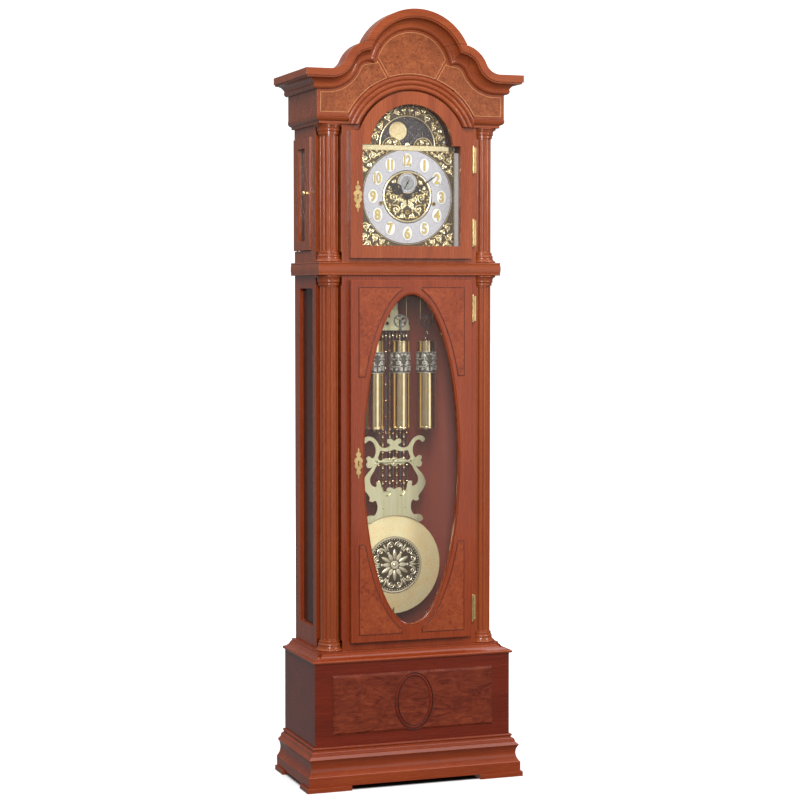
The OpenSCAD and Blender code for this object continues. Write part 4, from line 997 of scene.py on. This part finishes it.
PULLEY_R, CABLE_R = 18 * MM, 0.8 * MM
AXLE_Z = 1287 * MM
SHELL_H = 248
BAND_Z, BAND_H = 1142 * MM, 58 * MM


def weight(side, x):
    """Turned shell with a band of relief between two rims, and its hanger."""
    node = f"weight_{side}"
    low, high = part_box(node)
    y = (low.y + high.y) / 2
    r = (high.x - low.x) / 2
    z0 = low.z + 6 * MM
    z1 = z0 + SHELL_H * MM
    body = Form()
    wall = ((1, 0), (0, 0.8), (0, 4.4), (0.8, 5.4), (0.8, 242.6), (0, 243.6), (0, 247.2), (1, SHELL_H))
    wall = [(r - inset * MM, w * MM) for inset, w in wall]
    body.disc(0, 0, pairs((0.5, -6), (3.4, -6), (4, -5), (4, 0)) + wall + pairs((0.5, 248.4)), 72)
    upright(f"{node}_shell", body, (x, y, z0), "brass", node, "polished_brass", node)
    band = Form()
    around = TAU * r
    cell_w = around / 6

    def clear(u, v):
        return min(v - 1.5 * MM, BAND_H - 1.5 * MM - v, u, cell_w - u)

    cell = Form()
    cell.filigree(clear, (0, cell_w, 0, BAND_H), mm(12, 9, 7, 5, 3.6, 2.6), 31, 2.3 * MM, 1.7 * MM, 0.2 * MM)
    for k in range(6):
        flip = k % 2
        verts = [((cell_w * (k + 1) - u) if flip else (cell_w * k + u), v, w) for u, v, w in cell.verts]
        band.add(verts, [f[::-1] for f in cell.faces] if flip else cell.faces)
    verts = [(x + (r - 0.8 * MM + w) * math.sin(u / r), y - (r - 0.8 * MM + w) * math.cos(u / r), BAND_Z + v)
             for u, v, w in band.verts]
    piece(f"{node}_relief", verts, band.faces, "band_" + side, node, "antique_brass")
    rims = Form()
    turns = [TAU * k / 72 for k in range(72)]
    for z in (0, BAND_H):
        rims.rings([[(*polar(r - 0.9 * MM + a * MM, t), z + b * MM) for t in turns]
                    for a, b in ((0, -1), (1.0, -0.6), (1.0, 0.6), (0, 1))], cap=False)
    rims.rings([[(*polar(r - 0.6 * MM, t), z) for t in turns] for z in (0, BAND_H)], cap=False)
    upright(f"{node}_band", rims, (x, y, BAND_Z), "band_" + side, node, "antique_brass")
    hanger(node, x, y, z1)


def hanger(node, x, y, z1):
    """Hook, stirrup and pulley above a weight."""
    form = Form()
    groove = pairs((-2, -2), (1.2, -2), (0.2, -0.8), (0.2, 0.8), (1.2, 2), (-2, 2))
    form.oval(0, AXLE_Z, PULLEY_R, PULLEY_R, groove, 64)
    for k in range(3):
        a = math.pi / 3 * k + math.pi / 6
        spoke = [polar(t * PULLEY_R * 0.92, a) for t in (-1, -0.5, 0, 0.5, 1)]
        form.stroke([(u, AXLE_Z + v) for u, v in spoke], lambda t: 0.9 * MM, lambda t: 1.0 * MM, 0.2 * MM)
    form.disc(0, AXLE_Z, pairs((3, -3.4), (3, 3.4), (1.6, 4.6)), 20)
    for w in (3, -4.6):
        form.box(mm(-2.6, 2.6), (AXLE_Z - 24 * MM, AXLE_Z + 4 * MM), mm(w, w + 1.6), 0.3 * MM)
    form.box(mm(-3, 3), (AXLE_Z - 26 * MM, AXLE_Z - 22 * MM), mm(-4.6, 4.6), 0.4 * MM)
    # hook: a stem with a round bend into the weight's eye
    hook = [(0, AXLE_Z - 23 * MM), (0, AXLE_Z - 28 * MM)]
    hook += [(4.6 * MM * math.sin(t), AXLE_Z - 33 * MM + 4.6 * MM * math.cos(t))
             for t in (0.2, 0.9, 1.7, 2.5, 3.3, 4.2)]
    form.stroke(hook, lambda t: 1.3 * MM, lambda t: 1.6 * MM, -0.8 * MM)
    form.disc(0, z1 + 6 * MM, pairs((2.6, -1.2), (4.0, -0.6), (4.0, 0.6), (2.6, 1.2)), 18)
    form.box(mm(-1.6, 1.6), (z1 - 1 * MM, z1 + 4 * MM), mm(-1.2, 1.2), 0.3 * MM)
    facing(f"{node}_pulley", form, (x, y, 0), "steel", node, "steel")
    turn = Form()
    rings = []
    for k in range(33):
        a = math.pi + math.pi * k / 32
        around = [(*polar(PULLEY_R + CABLE_R * c, a), CABLE_R * s) for c, s in circle_points(1, 10)]
        rings.append([(u, v + AXLE_Z, w) for u, v, w in around])
    turn.rings(rings)
    facing(f"{node}_cable_turn", turn, (x, y, 0), "cable", node, "cable")


def cable(side, x):
    """Both falls of a cable, fixed between the ends of its part; on the clock they lengthen as the weight
    goes down.
    """
    node = f"cable_{side}"
    low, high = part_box(node)
    y = (low.y + high.y) / 2
    form = Form()
    steps = 40
    for s in (-1, 1):
        rings = []
        for k in range(steps + 1):
            z = low.z + (high.z - low.z) * k / steps
            rings.append([(s * PULLEY_R + CABLE_R * a, z, CABLE_R * b) for a, b in circle_points(1, 10)])
        form.rings(rings)
    obj = facing(node + "_falls", form, (x, y, 0), "cable", None, "cable", node)
    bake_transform(obj)


for side, x in (("left", -78 * MM), ("centre", 0.0), ("right", 78 * MM)):
    low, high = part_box("weight_" + side)
    axis_y, r = (low.y + high.y) / 2, (high.x - low.x) / 2
    M["band_" + side] = relief_metal("weight_band_" + side, (0.10, 0.092, 0.072), (0.66, 0.64, 0.56),
                                     r - 0.6 * MM, r + 0.9 * MM, 0.3, (x, axis_y))
    weight(side, x)
    cable(side, x)


# ---------------------------------------------------------------- stage, lights and camera


AMBIENT = 0.24     # light from all round
BACKDROP = 1.3     # brightness of the white backdrop that the camera sees
CAMERA_TURN, CAMERA_TILT = 19.8, 2.95     # degrees from the front, and degrees down


def stage():
    """Pale floor that fades into a white backdrop."""
    mesh = bpy.data.meshes.new("floor")
    far = 60.0
    mesh.from_pydata([(-far, -far, 0), (far, -far, 0), (far, far, 0), (-far, far, 0)], [], [(0, 1, 2, 3)])
    s = Shader("pale_floor")
    away = s.node("ShaderNodeVectorMath", {0: s.place}, operation="LENGTH").outputs["Value"]
    cloud = s.noise(3, 3)
    # dark under the case, in its contact shadow, and pale from its edge outwards
    spread = s.node("ShaderNodeVectorMath", {0: s.place, 1: (3.2, 6.6, 0)}, operation="MULTIPLY")
    spread = s.node("ShaderNodeVectorMath", {0: spread.outputs["Vector"]}, operation="ABSOLUTE")
    axes = s.node("ShaderNodeSeparateXYZ", {0: spread.outputs["Vector"]}).outputs
    reach = s.maths("MAXIMUM", axes[0], axes[1])
    s.set(Base_Color=s.ramp(reach, (0.92, (0.02, 0.02, 0.02)), (1.0, (0.92, 0.92, 0.92))))
    s.set(Roughness=s.span(cloud, 0.3, 0.7, 0.75, 0.85))
    s.set(Specular_IOR_Level=0.0, Emission_Color=(1, 1, 1, 1))
    # painted light: the floor glows more the farther it lies from the middle, from nothing within 0.8 m to
    # strength 1.2 beyond 3 m, so that it fades into the white backdrop
    s.set(Emission_Strength=s.span(away, 0.8, 3.0, 0.0, 1.2))
    mesh.materials.append(s.mat)
    floor = linked("floor", mesh)
    floor.visible_glossy = False
    floor.visible_diffuse = False
    world = bpy.data.worlds.new("studio")
    world.use_nodes = True
    tree = world.node_tree
    seen = tree.nodes.new("ShaderNodeLightPath").outputs["Is Camera Ray"]
    strength = tree.nodes.new("ShaderNodeMapRange")
    strength.inputs["To Min"].default_value = AMBIENT
    strength.inputs["To Max"].default_value = BACKDROP
    tree.links.new(seen, strength.inputs["Value"])
    tree.links.new(strength.outputs[0], tree.nodes["Background"].inputs["Strength"])
    tree.nodes["Background"].inputs["Color"].default_value = (1.0, 1.0, 1.0, 1)
    bpy.context.scene.world = world
    bpy.context.scene.view_settings.view_transform = "Standard"


def softbox(name, place, target, size, power, colour=(1, 1, 1)):
    light = bpy.data.lights.new(name, "AREA")
    light.shape = "RECTANGLE"
    light.size, light.size_y = size
    light.energy = power
    light.color = colour
    obj = linked(name, light)
    obj.location = place
    obj.rotation_euler = (Vector(target) - Vector(place)).to_track_quat("-Z", "Y").to_euler()


def camera():
    data = bpy.data.cameras.new("camera")
    data.lens = 92.36
    data.sensor_width = 36
    data.clip_end = 60
    obj = linked("camera", data)
    obj.location = (-1.956, -5.449, 1.362)
    obj.rotation_euler = (math.radians(90 - CAMERA_TILT), 0, math.radians(-CAMERA_TURN))
    bpy.context.scene.camera = obj


stage()
softbox("key", (-1.6, -4.7, 2.9), (0, 0, 1.6), (1.0, 2.4), 240)
softbox("right", (3.4, -2.8, 3.0), (0, 0, 1.5), (0.7, 2.0), 85)
softbox("front_card", (2.2, -5.4, 1.3), (0, 0, 1.2), (2.4, 2.6), 22)
softbox("overhead", (0.0, 0.9, 4.4), (0, 0.9, 0), (6.0, 6.0), 320)
camera()
